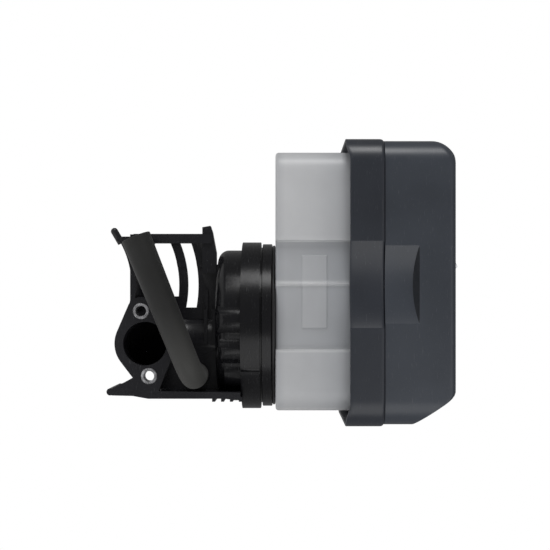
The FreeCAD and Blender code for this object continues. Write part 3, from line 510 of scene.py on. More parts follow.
def natural_plastic(name, rgb):
    """Milky natural plastic: lets soft light through, with faint flow lines, a fine grain and painted light
    and shade from the piece's tone, bluish where darkest.
    """
    material, tree, shader, coords = new_material(name)
    cloud = noise(tree, coords, 18.0, 4.0, -850, 200, rough=0.6)
    tone = ramp(tree, cloud.outputs["Fac"], ((0.3, scaled(rgb, 0.93)), (0.7, scaled(rgb, 1.05))), -600, 200)
    # Painted light and shade: the stored tone darkens the colour towards a bluish grey.
    depth = node_at(tree, "ShaderNodeAttribute", -600, 450, attribute_name="tone")
    painted_shade_tint = ramp(tree, depth.outputs["Fac"], ((0.4, (0.38, 0.40, 0.43)), (1.0, (1.0, 1.0, 1.0))), -400, 450)
    tint = mixed(tree, 1.0, tone.outputs["Color"], painted_shade_tint.outputs["Color"], -100, 300, "MULTIPLY")
    tree.links.new(tint, shader.inputs["Base Color"])
    flow_space = node_at(tree, "ShaderNodeMapping", -850, -200, Scale=(20.0, 20.0, 300.0))
    tree.links.new(coords, flow_space.inputs["Vector"])
    flow = noise(tree, flow_space.outputs["Vector"], 2.0, 3.0, -600, -200)
    add_bump(tree, shader, flow.outputs["Fac"], 0.25, 0.0002)
    shader.inputs["Roughness"].default_value = 0.38
    shader.inputs["IOR"].default_value = 1.49
    shader.inputs["Transmission Weight"].default_value = 0.18
    return material


def moulded_rubber(name, rgb, roughness=0.62):
    """Moulded rubber: matt, with bloom and fine pores, and paler where painted light is stored on the piece.
    """
    material, tree, shader, coords = new_material(name)
    bloom = noise(tree, coords, 30.0, 4.0, -850, 200, rough=0.6)
    tone = ramp(tree, bloom.outputs["Fac"], ((0.35, scaled(rgb, 0.8)), (0.7, scaled(rgb, 1.5))), -600, 200)
    # Painted light stored on the piece, such as the tube's paler lit end, lightens the colour.
    painted = node_at(tree, "ShaderNodeAttribute", -850, 500, attribute_name="dust_and_painted_light")
    dust_and_painted_light = ramp(tree, painted.outputs["Fac"], ((0.4, 0.0), (0.85, 1.0)), -600, 500)
    tint = mixed(tree, dust_and_painted_light.outputs["Color"], tone.outputs["Color"], scaled(rgb, 7.0), -300, 300)
    tree.links.new(tint, shader.inputs["Base Color"])
    pores = noise(tree, coords, 900.0, 3.0, -600, -200)
    add_bump(tree, shader, pores.outputs["Fac"], 0.35, 0.00008)
    shader.inputs["Roughness"].default_value = roughness
    shader.inputs["Sheen Weight"].default_value = 0.06
    return material


def zinc_plate(name, rgb):
    """Bright zinc plate: metal with a cloudy spangle and fine turning marks."""
    material, tree, shader, coords = new_material(name)
    cloud = noise(tree, coords, 300.0, 3.0, -850, 200)
    tone = ramp(tree, cloud.outputs["Fac"], ((0.3, scaled(rgb, 0.75)), (0.7, scaled(rgb, 1.15))), -600, 200)
    tree.links.new(tone.outputs["Color"], shader.inputs["Base Color"])
    rough = ramp(tree, cloud.outputs["Fac"], ((0.3, 0.22), (0.7, 0.42)), -600, -50)
    tree.links.new(rough.outputs["Color"], shader.inputs["Roughness"])
    marks = noise(tree, coords, 4000.0, 2.0, -600, -300)
    add_bump(tree, shader, marks.outputs["Fac"], 0.3, 0.00003)
    shader.inputs["Metallic"].default_value = 1.0
    return material


def open_cell_foam(name, rgb):
    """Open-cell foam: pores from a cell texture in height, and painted shade darkening the pores in colour.
    """
    material, tree, shader, coords = new_material(name)
    cells = node_at(tree, "ShaderNodeTexVoronoi", -850, 100, Scale=1100.0)
    tree.links.new(coords, cells.inputs["Vector"])
    depth = cells.outputs["Distance"]
    # Painted shade in the pores.
    tone = ramp(tree, depth, ((0.1, scaled(rgb, 0.35)), (0.6, scaled(rgb, 1.4))), -600, 200)
    tree.links.new(tone.outputs["Color"], shader.inputs["Base Color"])
    add_bump(tree, shader, depth, 0.8, 0.0006)
    shader.inputs["Roughness"].default_value = 0.9
    shader.inputs["Sheen Weight"].default_value = 0.3
    return material


def pale_floor(name, rgb):
    """Plain pale floor with a barely visible tone."""
    material, tree, shader, coords = new_material(name)
    cloud = noise(tree, coords, 2.0, 2.0, -500, 0)
    tone = ramp(tree, cloud.outputs["Fac"], ((0.3, scaled(rgb, 0.99)), (0.7, scaled(rgb, 1.01))), -250, 0)
    tree.links.new(tone.outputs["Color"], shader.inputs["Base Color"])
    shader.inputs["Roughness"].default_value = 0.8
    shader.inputs["Emission Color"].default_value = (1.0, 1.0, 1.0, 1.0)
    shader.inputs["Emission Strength"].default_value = 0.3
    return material


def finish(name):
    """The named finish, made once and shared by the pieces that have it."""
    if name in bpy.data.materials:
        return bpy.data.materials[name]
    c = bpy.context.scene.housing_finishes
    makers = {
        "slate plastic": (moulded_plastic, c.cap, {"roughness": 0.33, "dust_and_painted_light": 0.12}),
        "skirt plastic": (moulded_plastic, c.cover, {"roughness": 0.33, "dust_and_painted_light": 0.12}),
        "black plastic": (moulded_plastic, c.elbow,
                          {"roughness": 0.26, "dust_and_painted_light": 0.12, "grain": 1800.0, "gloss": 0.35}),
        "gloss black plastic": (moulded_plastic, scaled(c.elbow, 0.45),
                                {"roughness": 0.24, "dust_and_painted_light": 0.06, "gloss": 0.3}),
        "natural plastic": (natural_plastic, c.bowl, {}),
        "tube rubber": (moulded_rubber, c.tube, {}),
        "seal rubber": (moulded_rubber, c.seal, {"roughness": 0.5}),
        "inner plastic": (moulded_plastic, c.inner, {"roughness": 0.5, "dust_and_painted_light": 0.05}),
        "foam": (open_cell_foam, c.foam, {}),
        "zinc plate": (zinc_plate, c.zinc, {}),
        "pale floor": (pale_floor, c.floor, {}),
    }
    maker, rgb, options = makers[name]
    return maker(name, tuple(rgb), **options)


# ---------------------------------------------------------------- shells

def scoop_line():
    """The scoop's cylinder: middle in X, centre in Y and radius, from the cover's box and the sizes."""
    s = bpy.context.scene.housing_shells
    low_x = span("air_cleaner_cover", 0)[0]
    front = span("air_cleaner_cover", 1)[0]
    half = s.scoop_width / 2
    radius = (half ** 2 + s.scoop_depth ** 2) / (2 * s.scoop_depth)
    return low_x + s.scoop_low + half, front + s.scoop_depth - radius, radius


def scoop_edges(front):
    """Where the scoop's cylinder meets a near side that stands at front, in X."""
    middle, centre_y, radius = scoop_line()
    half = math.sqrt(radius ** 2 - (front - centre_y) ** 2)
    return middle - half, middle + half


def scooped(loop, front, wall=0.0):
    """Loop with its near side pushed back onto the scoop's cylinder, moved in by wall."""
    middle, centre_y, radius = scoop_line()
    reach = np.sqrt(np.maximum((radius + wall) ** 2 - (loop[:, 0] - middle) ** 2, 0.0))
    curved = np.where(reach > 0, centre_y + reach, -1.0)
    near = loop[:, 1] < front + 4 * MM
    out = loop.copy()
    out[:, 1] = np.where(near, np.maximum(loop[:, 1], curved), loop[:, 1])
    return out


def row(loop, z):
    """Loop of X and Y lifted to a height or heights."""
    return np.column_stack([loop, np.broadcast_to(z, len(loop))])


def circle_facing(loop, centre, radius):
    """Points of a circle in the same directions from centre as the loop's points."""
    angle = np.arctan2(loop[:, 1] - centre[1], loop[:, 0] - centre[0])
    return np.stack([centre[0] + radius * np.cos(angle), centre[1] + radius * np.sin(angle)], axis=-1)


def plan_sampler(x, y, r, features, width=EDGE_COLUMNS, steps=LONG_STEPS):
    """Function giving the plan loop at any inset, always with the same columns."""
    near = side_fractions(x, r, steps, features, width)
    ends = np.linspace(0, 1, END_STEPS)

    def loop(inset_by):
        return rounded_loop(inset(x, inset_by), inset(y, inset_by), r - inset_by, near, ends, CORNER_STEPS)

    return loop


def cap_skin(x, y, z0, zt, r, wall, columns):
    """Rows of one skin of the cap, from its lower edge to the grommet's hole.

    Height over the plan is the lower of two surfaces, eased together: the flat top with its
    edge rounded by an arc whose radius grows from the long sides to the low end, and the
    sloping chamfer at the high end. The near wall lies on the scoop's cylinder below the
    scoop's sloping end wall.
    """
    s = bpy.context.scene.housing_shells
    least_wall = 4 * MM  # upright wall kept between the scoop and the top's rounding
    crease = 0.15 * MM  # gap between the rows on either side of the scoop's end wall
    last_corner = 1.2 * MM  # corner radius at which the rows stop following the plan
    outline = columns(wall)
    toward_low = np.clip((x[0] + r - outline[:, 0]) / r, 0, 1)
    round_r = (s.top_round + (s.low_round - s.top_round) * toward_low ** 1.5) - wall
    chamfer_x = x[1] - s.chamfer_run
    steep = s.chamfer_rise / s.chamfer_run

    def chamfer(px):
        return zt + wall - steep * (px - chamfer_x) - wall * math.hypot(1, steep)

    at_end = np.clip((outline[:, 0] - chamfer_x) / (x[1] - wall - chamfer_x), 0, 1)

    def height(flat, loop, inward):
        sunk = 0.3 * s.chamfer_ease * at_end * np.clip(1 - inward / s.chamfer_ease, 0, 1) ** 2
        return -smooth_max(-flat, -(chamfer(loop[:, 0]) - sunk), 1.5 * s.chamfer_ease)

    wall_top = height(zt - round_r, outline, np.zeros(len(outline)))
    pushed = scooped(outline, y[0] + wall, wall)
    depth = pushed[:, 1] - outline[:, 1]
    end_z = np.minimum(span("air_cleaner_cover", 2)[1] + s.scoop_rise + wall, wall_top - least_wall)
    corner_z = end_z - s.scoop_slope * depth / s.scoop_depth - crease
    rows = [row(pushed, z0 + t * (corner_z - z0)) for t in np.linspace(0, 1, 15)]
    rows += [row(outline, end_z + t * (wall_top - end_z)) for t in np.linspace(0, 1, 12)]
    for phi in np.radians(np.linspace(8, 90, 11)):
        inward = round_r * (1 - math.cos(phi))
        loop = shifted(outline, x, y, r, inward)
        rows.append(row(loop, height(zt - round_r * (1 - math.sin(phi)), loop, inward)))
    deep = r - last_corner
    for t in np.linspace(0.15, 1, 7):
        inward = round_r + t * (deep - wall - round_r)
        loop = shifted(outline, x, y, r, inward)
        rows.append(row(loop, height(zt, loop, inward)))
    centre = centre_xy("centre_stud")
    last = rows[-1][:, :2]
    well_r = s.well_radius + wall
    rim = circle_facing(last, centre, well_r)
    for t in np.linspace(0, 1, 22)[1:]:
        loop = last + (1 - (1 - t) ** 1.15) * (rim - last)
        rows.append(row(loop, height(zt, loop, deep)))
    for t in np.linspace(0, 1, 5)[1:]:
        rows.append(row(rim, zt - t * (s.well_depth - s.well_round)))
    floor = zt - s.well_depth
    for phi in np.radians(np.linspace(22, 90, 4)):
        ring = circle_facing(last, centre, well_r - s.well_round * (1 - math.cos(phi)))
        rows.append(row(ring, floor + s.well_round * (1 - math.sin(phi))))
    floor_r = well_r - s.well_round
    for t in np.linspace(0, 1, 5)[1:]:
        rows.append(row(circle_facing(last, centre, floor_r + t * (s.hole_radius - floor_r)), floor))
    return rows


def shifted(outline, x, y, r, inward):
    """Outline moved inwards along the plan's own normal by a distance for each column."""
    corner_x = np.clip(outline[:, 0], x[0] + r, x[1] - r)
    corner_y = np.clip(outline[:, 1], y[0] + r, y[1] - r)
    out = outline - np.stack([corner_x, corner_y], axis=-1)
    size = np.maximum(np.linalg.norm(out, axis=1), 1e-9)
    return outline - out / size[:, None] * np.broadcast_to(inward, size.shape)[:, None]


def build_cap():
    """Cap: outer skin, well and inner skin as one closed surface, shaded where it faces down."""
    s = bpy.context.scene.housing_shells
    x, y = plan_box("air_cleaner_cap")
    low_z, high_z = span("air_cleaner_cap", 2)
    r = s.corner - s.cap_inset
    columns = plan_sampler(x, y, r, scoop_edges(y[0]))
    outer = cap_skin(x, y, low_z, high_z, r, 0.0, columns)
    inner = cap_skin(x, y, low_z, high_z - s.wall, r, s.wall, columns)
    piece = grid_object("cap_shell", np.stack(outer + inner[::-1]), along=True, smooth_angle=24)
    # Painted shade on the faces that point down, such as the scoop's end wall.
    normals = np.zeros(3 * len(piece.data.polygons), np.float32)
    piece.data.polygons.foreach_get("normal", normals)
    downward = -normals[2::3]
    paint(piece, "shade", np.clip((downward - 0.6) / 0.2, 0, 0.9), "FACE")
    return piece


def build_cover():
    """Cover: skirt with a rounded shoulder, top rim and deck as one closed surface."""
    s = bpy.context.scene.housing_shells
    shoulder_run = 1.3 * MM
    lip = 0.5 * MM
    hole_corner = 10 * MM
    x, y = plan_box("air_cleaner_cover")
    low_z, top = span("air_cleaner_cover", 2)
    features = scoop_edges(y[0])
    loop = plan_sampler(x, y, s.corner, features)
    hole_x, hole_y = (inset(pair, s.deck_margin) for pair in plan_box("deck_gasket"))
    near = side_fractions(x, s.corner, LONG_STEPS, features, EDGE_COLUMNS)
    hole = rounded_loop(hole_x, hole_y, hole_corner, near, np.linspace(0, 1, END_STEPS), CORNER_STEPS)
    deck_top = top - s.deck_drop
    deck_low = deck_top - s.deck_thickness
    plan = loop(0.0)
    from_end = np.minimum(plan[:, 0] - x[0], x[1] - plan[:, 0]) / s.corner
    edge_z = low_z + s.skirt_notch * smooth_step(np.clip(from_end * 1.4 - 0.25, 0, 1))

    def at(inward, z):
        return row(scooped(loop(inward), y[0] + inward, inward), z)

    rows = [at(lip * (1 - math.sin(a)), edge_z + lip * (1 - math.cos(a))) for a in np.radians((0, 45, 90))]
    rows += [at(0.0, edge_z + lip + t * (top - s.shoulder - edge_z - lip)) for t in np.linspace(0, 1, 12)[1:]]
    rows += [at(shoulder_run * (1 - math.cos(a)), top - s.shoulder * (1 - math.sin(a)))
             for a in np.radians(np.linspace(15, 90, 6))]
    rows += [at(s.wall, z) for z in (top, top - 0.5 * s.deck_drop, deck_top)]
    rim = rows[-1][:, :2]
    rows += [row(rim + t * (hole - rim), deck_top) for t in np.linspace(0, 1, 7)[1:]]
    rows += [row(hole + t * (rim - hole), deck_low) for t in np.linspace(0, 1, 7)]
    rows += [at(s.wall, deck_low + t * (edge_z + lip - deck_low)) for t in np.linspace(0, 1, 9)[1:]]
    rows += [at(s.wall - 0.3 * lip, edge_z + 0.3 * lip)]
    return grid_object("cover_shell", np.stack(rows), along=True, smooth_angle=24)


def bowl_places():
    """Where the bowl's walls and the features of its near wall lie, from its box and its sizes."""
    b = bpy.context.scene.housing_bowl
    x, y = plan_box("oil_bowl")
    floor, top = span("oil_bowl", 2)
    rib = x[0] + b.rib_from_low
    return SimpleNamespace(
        x=x, y=y, floor=floor, top=top, rim=top - b.chimney_past_rim,
        bay=(x[0] + b.bay_low, x[0] + b.bay_low + b.bay_width),
        rib=(rib - b.rib_width / 2, rib + b.rib_width / 2),
        label=(x[0] + b.label_low, x[0] + b.label_low + b.label_length),
        label_z=(floor + b.label_rise, floor + b.label_rise + b.label_height))


def bowl_near_wall(plan, z, wall):
    """Bay, rib and label plate as a push of the near wall, eased at their edges."""
    b = bpy.context.scene.housing_bowl
    p = bowl_places()
    soft = 0.6 * MM
    push = b.bay_depth * step_between(plan[:, 0], *inset(p.bay, -wall), 0.9 * MM)
    if wall == 0:
        up = np.clip((z - p.floor - b.foot) / MM, 0, 1)
        push = push - up * b.rib_proud * step_between(plan[:, 0], *p.rib, soft)
        tall = step_between(np.asarray([z]), *p.label_z, soft)[0]
        push = push - tall * b.label_proud * step_between(plan[:, 0], *p.label, soft)
    near = plan[:, 1] < p.y[0] + wall + 3 * MM
    out = plan.copy()
    out[:, 1] += np.where(near, push, 0.0)
    return out


def build_bowl():
    """Bowl: outer wall with bay, rib and label plate, foot, floor, chimney and inner skin, closed, with
    painted light and shade stored as its tone.
    """
    b = bpy.context.scene.housing_bowl
    p = bowl_places()
    loop = plan_sampler(p.x, p.y, b.corner, (*p.bay, *p.rib, *p.label), 0.45 * MM, steps=60)

    def at(inward, z, wall=0.0):
        return row(bowl_near_wall(loop(inward), z, wall), z)

    brim = 0.3 * MM
    beside_label = [v + k * MM for v in p.label_z for k in (-0.5, -0.2, 0.2, 0.5)]
    heights = np.unique(np.concatenate([np.linspace(p.floor + b.foot, p.rim - brim, 26), beside_label]))[::-1]
    rows = [at(brim, p.rim)] + [at(0.0, z) for z in heights]
    rows += [at(b.foot * (1 - math.cos(a)), p.floor + b.foot * (1 - math.sin(a)))
             for a in np.radians(np.linspace(15, 90, 6))]
    edge = rows[-1][:, :2]
    centre = centre_xy("centre_stud")
    bore = circle_facing(edge, centre, b.chimney_bore)
    rows += [row(edge + t * (bore - edge), p.floor) for t in np.linspace(0, 1, 14)[1:]]
    rows += [row(bore, p.floor + t * (p.top - p.floor)) for t in np.linspace(0, 1, 9)[1:]]
    outside = circle_facing(edge, centre, b.chimney_bore + b.chimney_wall)
    floor = p.floor + b.wall
    rows += [row(outside, p.top + t * (floor - p.top)) for t in np.linspace(0, 1, 9)]
    inner_edge = at(b.wall, floor, b.wall)[:, :2]
    rows += [row(outside + t * (inner_edge - outside), floor) for t in np.linspace(0, 1, 14)[1:]]
    rows += [at(b.wall, floor + t * (p.rim - floor), b.wall) for t in np.linspace(0, 1, 12)[1:]]
    points = np.stack(rows)
    piece = grid_object("bowl_shell", points, along=True, smooth_angle=30)
    # Painted light and shade on the bowl, stored as its tone.
    paint(piece, "tone", bowl_painted_light(points.reshape(-1, 3)))
    return piece


def bowl_painted_light(points):
    """Painted light and shade on the bowl: darker with height and in the bay, darker past the bay's high end,
    paler on the label, with painted highlights on the rib and the bay's edges.
    """
    b = bpy.context.scene.housing_bowl
    p = bowl_places()
    px, z = points[:, 0], points[:, 2]
    heights, height_shades = zip(*BOWL_SHADE_BY_HEIGHT)
    in_bay = step_between(px, *p.bay, 2 * MM)
    on_label = in_bay * step_between(px, *p.label, MM) * step_between(z, *p.label_z, MM)
    rib_highlight = step_between(px, *inset(p.rib, -b.rib_width / 2), MM)
    above = np.clip((px - p.bay[1]) / (2 * MM), 0, 1)
    # Painted shade in the bay and past its high end; paler on the label; a painted highlight on the rib.
    side = 1 - 0.27 * in_bay + 0.07 * on_label + 0.26 * rib_highlight * in_bay - 0.12 * above
    # Painted highlights along the bay's two edges.
    for edge_x in p.bay:
        side = side + 0.22 * np.exp(-((px - edge_x) / (0.9 * MM)) ** 2)
    near = points[:, 1] < p.y[0] + b.bay_depth + b.wall + MM
    return np.interp(z - p.floor, heights, height_shades) * np.where(near, side, 1.0)


# ---------------------------------------------------------------- turned parts and the tube

def ring_profile(r_in, r_out, z_low, z_high, edge):
    """Closed profile of a flat ring with its four edges chamfered."""
    return [(r_in + edge, z_low), (r_out - edge, z_low), (r_out, z_low + edge), (r_out, z_high - edge),
            (r_out - edge, z_high), (r_in + edge, z_high), (r_in, z_high - edge), (r_in, z_low + edge)]


def build_stud():
    """Centre stud: radius falls by the thread's depth along a helix near both ends, ends closed."""
    m = bpy.context.scene.housing_metal
    low, high = span("centre_stud", 2)
    runout = 2 * MM
    tip = 1 * MM
    ends = np.arange(0, m.thread_length, m.pitch / 8)
    plain = np.linspace(low + m.thread_length, high - m.thread_length, 20)
    z = np.concatenate([low + ends, plain, high - ends[::-1]])[:, None]
    angle = np.linspace(0, 2 * np.pi, 40, endpoint=False)
    turn = (z / m.pitch - angle / (2 * np.pi)) % 1.0
    valley = np.abs(turn - 0.5) * 2
    threaded = (z < low + m.thread_length - runout) | (z > high - m.thread_length + runout)
    r = m.stud_radius - m.thread_depth * valley * threaded
    from_tip = np.minimum(np.minimum(z - low, high - z), tip)
    r = np.minimum(r, m.stud_radius - tip + from_tip)
    return capped_object("stud_rod", about_axis(centre_xy("centre_stud"), r, z, angle))


def capped_object(name, points):
    """Tube of quads through rings of points, closed by one flat face at each end."""
    rows, cols = points.shape[:2]
    index = np.arange(rows * cols).reshape(rows, cols)
    quads = grid_quads(np.concatenate([index, index[:, :1]], axis=1))
    faces = quads.tolist() + [list(range(cols))[::-1], list(range((rows - 1) * cols, rows * cols))]
    mesh = bpy.data.meshes.new(name)
    mesh.from_pydata(points.reshape(-1, 3).tolist(), [], faces)
    smooth(mesh, 35)
    return linked(name, mesh)


def build_collars():
    """Two steel collars: chamfered rings swept round axes along Y through the stud ears."""
    edge = bpy.context.scene.housing_metal.edge
    low, high = low_high("flange_collars")
    dims = mount_named("carburettor_studs")["dims"]
    radius = collar_radius(low, high, dims["pcd_mm"] * MM)
    bore = dims["hole_r_mm"] * MM
    proud = 0.3 * MM
    angle = np.linspace(0, 2 * np.pi, 64, endpoint=False)
    profile = np.array(ring_profile(bore, radius, low[1] - proud, high[1], edge))
    collars = []
    for name, side in (("low_collar", 1), ("high_collar", -1)):
        centre = (side * (high[0] - radius), side * (high[2] - radius))
        points = about_axis(centre, profile[:, :1], profile[:, 1:], angle)
        collars.append(grid_object(name, points[:, :, [0, 2, 1]], along=True))
    return collars


def collar_radius(low, high, pitch):
    """Outer radius of the collars: (x - 2r)^2 + (z - 2r)^2 = pitch^2 for the box of the pair."""
    x, z = high[0] - low[0], high[2] - low[2]
    total, product = x + z, (x * x + z * z - pitch * pitch) / 2
    return (total - math.sqrt(total * total - 4 * product)) / 4


def mount_named(name):
    """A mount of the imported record."""
    return next(m for m in frame["record"]["mounts"] if m["name"] == name)


def build_tube():
    """Breather tube: a circle carried along a line, a quarter bend and a line, with the bore back."""
    t = bpy.context.scene.housing_tube
    mount = mount_named("breather_end")
    swivel = next(j for j in frame["record"]["behaviour"]["joints"] if j["name"] == "tube_swivel")
    free = np.array(mount["pos_m"])
    corner = np.array([swivel["pos_m"][0], free[1], swivel["pos_m"][2]])
    end_y = span("breather_tube", 1)[1]
    along = corner - free
    length_all = np.linalg.norm(along)
    along = along / length_all
    up = np.array([0.0, 1.0, 0.0])
    side = np.cross(along, up)
    straight = length_all - t.bend
    turn = t.bend * math.pi / 2
    short = end_y - (free[1] + t.bend)
    total = straight + turn + short

    def station(s):
        if s < straight:
            return free + along * s, along
        if s < straight + turn:
            a = (s - straight) / t.bend
            centre = free + along * straight + up * t.bend
            return (centre - up * t.bend * math.cos(a) + along * t.bend * math.sin(a),
                    along * math.cos(a) + up * math.sin(a))
        return free + along * (straight + t.bend) + up * (t.bend + s - straight - turn), up

    def outer(s):
        return t.radius_low + (t.radius_free - t.radius_low) * np.clip(1 - s / straight, 0, 1)

    rim = t.rim
    inner_rim = 0.4 * MM
    outside = [(rim * (1 - math.cos(a)), outer(0) - rim * (1 - math.sin(a)))
               for a in np.radians(np.linspace(0, 90, 6))]
    places = np.concatenate([np.linspace(rim, straight, 50)[1:],
                             np.linspace(straight, straight + turn, 22)[1:],
                             np.linspace(straight + turn, total - rim, 8)[1:]])
    outside += [(s, outer(s)) for s in places]
    outside += [(total - rim * (1 - math.cos(a)), outer(total) - rim * (1 - math.sin(a)))
                for a in np.radians(np.linspace(90, 0, 6))[1:]]
    inside = [(total, t.bore + inner_rim), (total - inner_rim, t.bore)]
    inside += [(s, t.bore) for s in places[::-1][1:] if s > t.nipple_depth]
    inside += [(t.nipple_depth, t.bore), (t.nipple_depth, t.nipple_bore),
               (t.nipple_depth / 2, t.nipple_bore), (inner_rim, t.nipple_bore),
               (0.0, t.nipple_bore + inner_rim)]
    angle = np.linspace(0, 2 * np.pi, 72, endpoint=False)
    rings = []
    for s, r in outside + inside:
        at, forward = station(s)
        other = np.cross(side, forward)
        rings.append(at + r * (np.cos(angle)[:, None] * side + np.sin(angle)[:, None] * other))
    piece = grid_object("tube", np.stack(rings), along=True, smooth_angle=40)
    # Painted light: the tube grows paler towards the bend and its short leg, where the light falls on it.
    share = np.array([s for s, _ in outside + inside]) / total
    paint(piece, "dust_and_painted_light", np.repeat(share, len(angle)))
    return piece


def bead_profile(r_in, r_out, z_low, z_high, bead):
    """Closed profile of a flat ring whose rim swells into a round bead."""
    middle = (z_low + z_high) / 2
    neck = r_out - 2 * bead
    return [(r_in, z_low), (neck - bead, z_low), *arc_rows((neck, middle), bead, -110, 110, 17),
            (neck - bead, z_high), (r_in, z_high)]


def seat_ring_radii():
    """Outer radius of the seat ring, and the outer and inner radius of its spigot."""
    m = bpy.context.scene.housing_metal
    low_x, high_x = span("seat_ring", 0)
    outer = (high_x - low_x) / 2
    return outer, outer - m.spigot_inset, outer - m.spigot_inset - m.spigot_wall


def build_seat_ring():
    """Seat ring: spigot, groove over the drum's rim and a chamfered rim, turned about the drum's axis."""
    m = bpy.context.scene.housing_metal
    edge = m.edge
    low_z, high_z = span("seat_ring", 2)
    disc_top = span("drum", 2)[1]
    r, spigot_r, inner = seat_ring_radii()
    groove_r = r - m.groove_depth
    groove_top = disc_top + m.groove_height
    profile = [(inner, low_z), (spigot_r - edge, low_z), (spigot_r, low_z + edge), (spigot_r, disc_top),
               (groove_r, disc_top), (groove_r, groove_top), (r - edge, groove_top), (r, groove_top + edge),
               (r, high_z - edge), (r - edge, high_z), (inner, high_z)]
    return turned_object("seat_ring_body", profile, centre_xy("seat_ring"), steps=160, smooth_angle=25)


def build_seat_gasket():
    """Seat gasket: a flat ring with a bead round its rim, a little thinner than the room for it."""
    m = bpy.context.scene.housing_metal
    room = 0.2 * MM
    low_x, high_x = span("seat_gasket", 0)
    low_z, high_z = inset(span("seat_gasket", 2), room)
    profile = bead_profile(seat_ring_radii()[2], (high_x - low_x) / 2, low_z, high_z, m.bead)
    return turned_object("seat_gasket_ring", profile, centre_xy("seat_gasket"), steps=160)


def build_washer(node):
    """Washer: a chamfered flat ring round the stud."""
    m = bpy.context.scene.housing_metal
    low, high = low_high(node)
    profile = ring_profile(m.stud_radius + TOUCH, (high[0] - low[0]) / 2, low[2], high[2], m.edge / 2)
    return turned_object(node + "_turned", profile, centre_xy(node))


def build_grommet():
    """Grommet: a sleeve through the cap's hole under a flange with a rounded edge."""
    low, high = low_high("stud_grommet")
    bore = bpy.context.scene.housing_metal.stud_radius + TOUCH
    neck = bpy.context.scene.housing_shells.hole_radius
    wide = (high[0] - low[0]) / 2
    low_edge, top_edge = 0.4 * MM, 0.5 * MM
    flange_z = high[2] - 1.5 * MM
    profile = [(bore, low[2]), (neck, low[2]), (neck, flange_z), (wide - low_edge, flange_z),
               (wide, flange_z + low_edge), (wide, high[2] - top_edge), (wide - top_edge, high[2]),
               (bore, high[2])]
    return turned_object("grommet", profile, centre_xy("stud_grommet"))


# ---------------------------------------------------------------- stage

def build_floor():
    """Flat floor under the housing."""
    g = bpy.context.scene.housing_stage
    side = np.linspace(-g.floor_half, g.floor_half, 7)
    px, py = np.meshgrid(side, side, indexing="ij")
    points = np.stack([px, py + g.floor_shift, 0 * px + cad_bounds[0][2] - g.floor_gap], axis=-1)
    floor = grid_object("floor", points, around=False)
    floor.data.materials.append(finish("pale floor"))
    return floor


def build_light(name, place_at, size, power):
    """Square soft light that faces the housing."""
    data = bpy.data.lights.new(name, "AREA")
    data.shape, data.size, data.energy = "SQUARE", size, power
    facing = (Vector(LIGHT_TARGET) - Vector(place_at)).to_track_quat("-Z", "Y")
    linked(name, data).matrix_world = Matrix.Translation(place_at) @ facing.to_matrix().to_4x4()


def build_world():
    """White surroundings to the eye, softer for the light they give."""
    white = (1.0, 1.0, 1.0, 1.0)
    room_light = bpy.context.scene.housing_stage.room_light
    world = bpy.data.worlds.new("studio")
    bpy.context.scene.world = world
    world.use_nodes = True
    tree = world.node_tree
    tree.nodes.clear()
    out = node_at(tree, "ShaderNodeOutputWorld", 600, 0)
    mix = node_at(tree, "ShaderNodeMixShader", 400, 0)
    path = node_at(tree, "ShaderNodeLightPath", 100, 200)
    seen = node_at(tree, "ShaderNodeBackground", 100, -100, Color=white, Strength=1.0)
    lit = node_at(tree, "ShaderNodeBackground", 100, 0, Color=white, Strength=room_light)
    tree.links.new(path.outputs["Is Camera Ray"], mix.inputs[0])
    tree.links.new(lit.outputs[0], mix.inputs[1])
    tree.links.new(seen.outputs[0], mix.inputs[2])
    tree.links.new(mix.outputs[0], out.inputs["Surface"])


def build_camera():
    """Camera in front of the flange, looking along Y with -X upwards."""
    g = bpy.context.scene.housing_stage
    data = bpy.data.cameras.new("camera")
    data.lens, data.sensor_width = g.lens, 36.0
    data.shift_x, data.shift_y = g.shift_x, g.shift_y
    data.clip_start = 0.01
    camera = linked("camera", data)
    across, up = Vector((0, 0, 1)), Vector((-1, 0, 0))
    facing = Matrix((across, up, across.cross(up))).transposed()
    camera.matrix_world = Matrix.Translation((g.camera_x, g.camera_y, g.camera_z)) @ facing.to_4x4()
    bpy.context.scene.camera = camera


# ---------------------------------------------------------------- operators

class HOUSING_OT_cap(bpy.types.Operator):
    """Build the cap"""
    bl_idname = "housing.cap"
    bl_label = "Cap"
    bl_options = {"REGISTER", "UNDO"}

    def execute(self, context):
        place(build_cap(), "cap", "cover_plastic", finish("slate plastic"), "air_cleaner_cap")
        return {"FINISHED"}


class HOUSING_OT_cover(bpy.types.Operator):
    """Build the cover"""
    bl_idname = "housing.cover"
    bl_label = "Cover"
    bl_options = {"REGISTER", "UNDO"}

    def execute(self, context):
        place(build_cover(), "cover", "cover_plastic", finish("skirt plastic"), "air_cleaner_cover")
        return {"FINISHED"}


class HOUSING_OT_bowl(bpy.types.Operator):
    """Build the oil bowl"""
    bl_idname = "housing.bowl"
    bl_label = "Oil bowl"
    bl_options = {"REGISTER", "UNDO"}

    def execute(self, context):
        place(build_bowl(), "bowl", "clear_bowl", finish("natural plastic"), "oil_bowl")
        return {"FINISHED"}


class HOUSING_OT_tube(bpy.types.Operator):
    """Build the breather tube"""
    bl_idname = "housing.tube"
    bl_label = "Breather tube"
    bl_options = {"REGISTER", "UNDO"}

    def execute(self, context):
        place(build_tube(), "tube", "tube_rubber", finish("tube rubber"), "breather_tube")
        return {"FINISHED"}


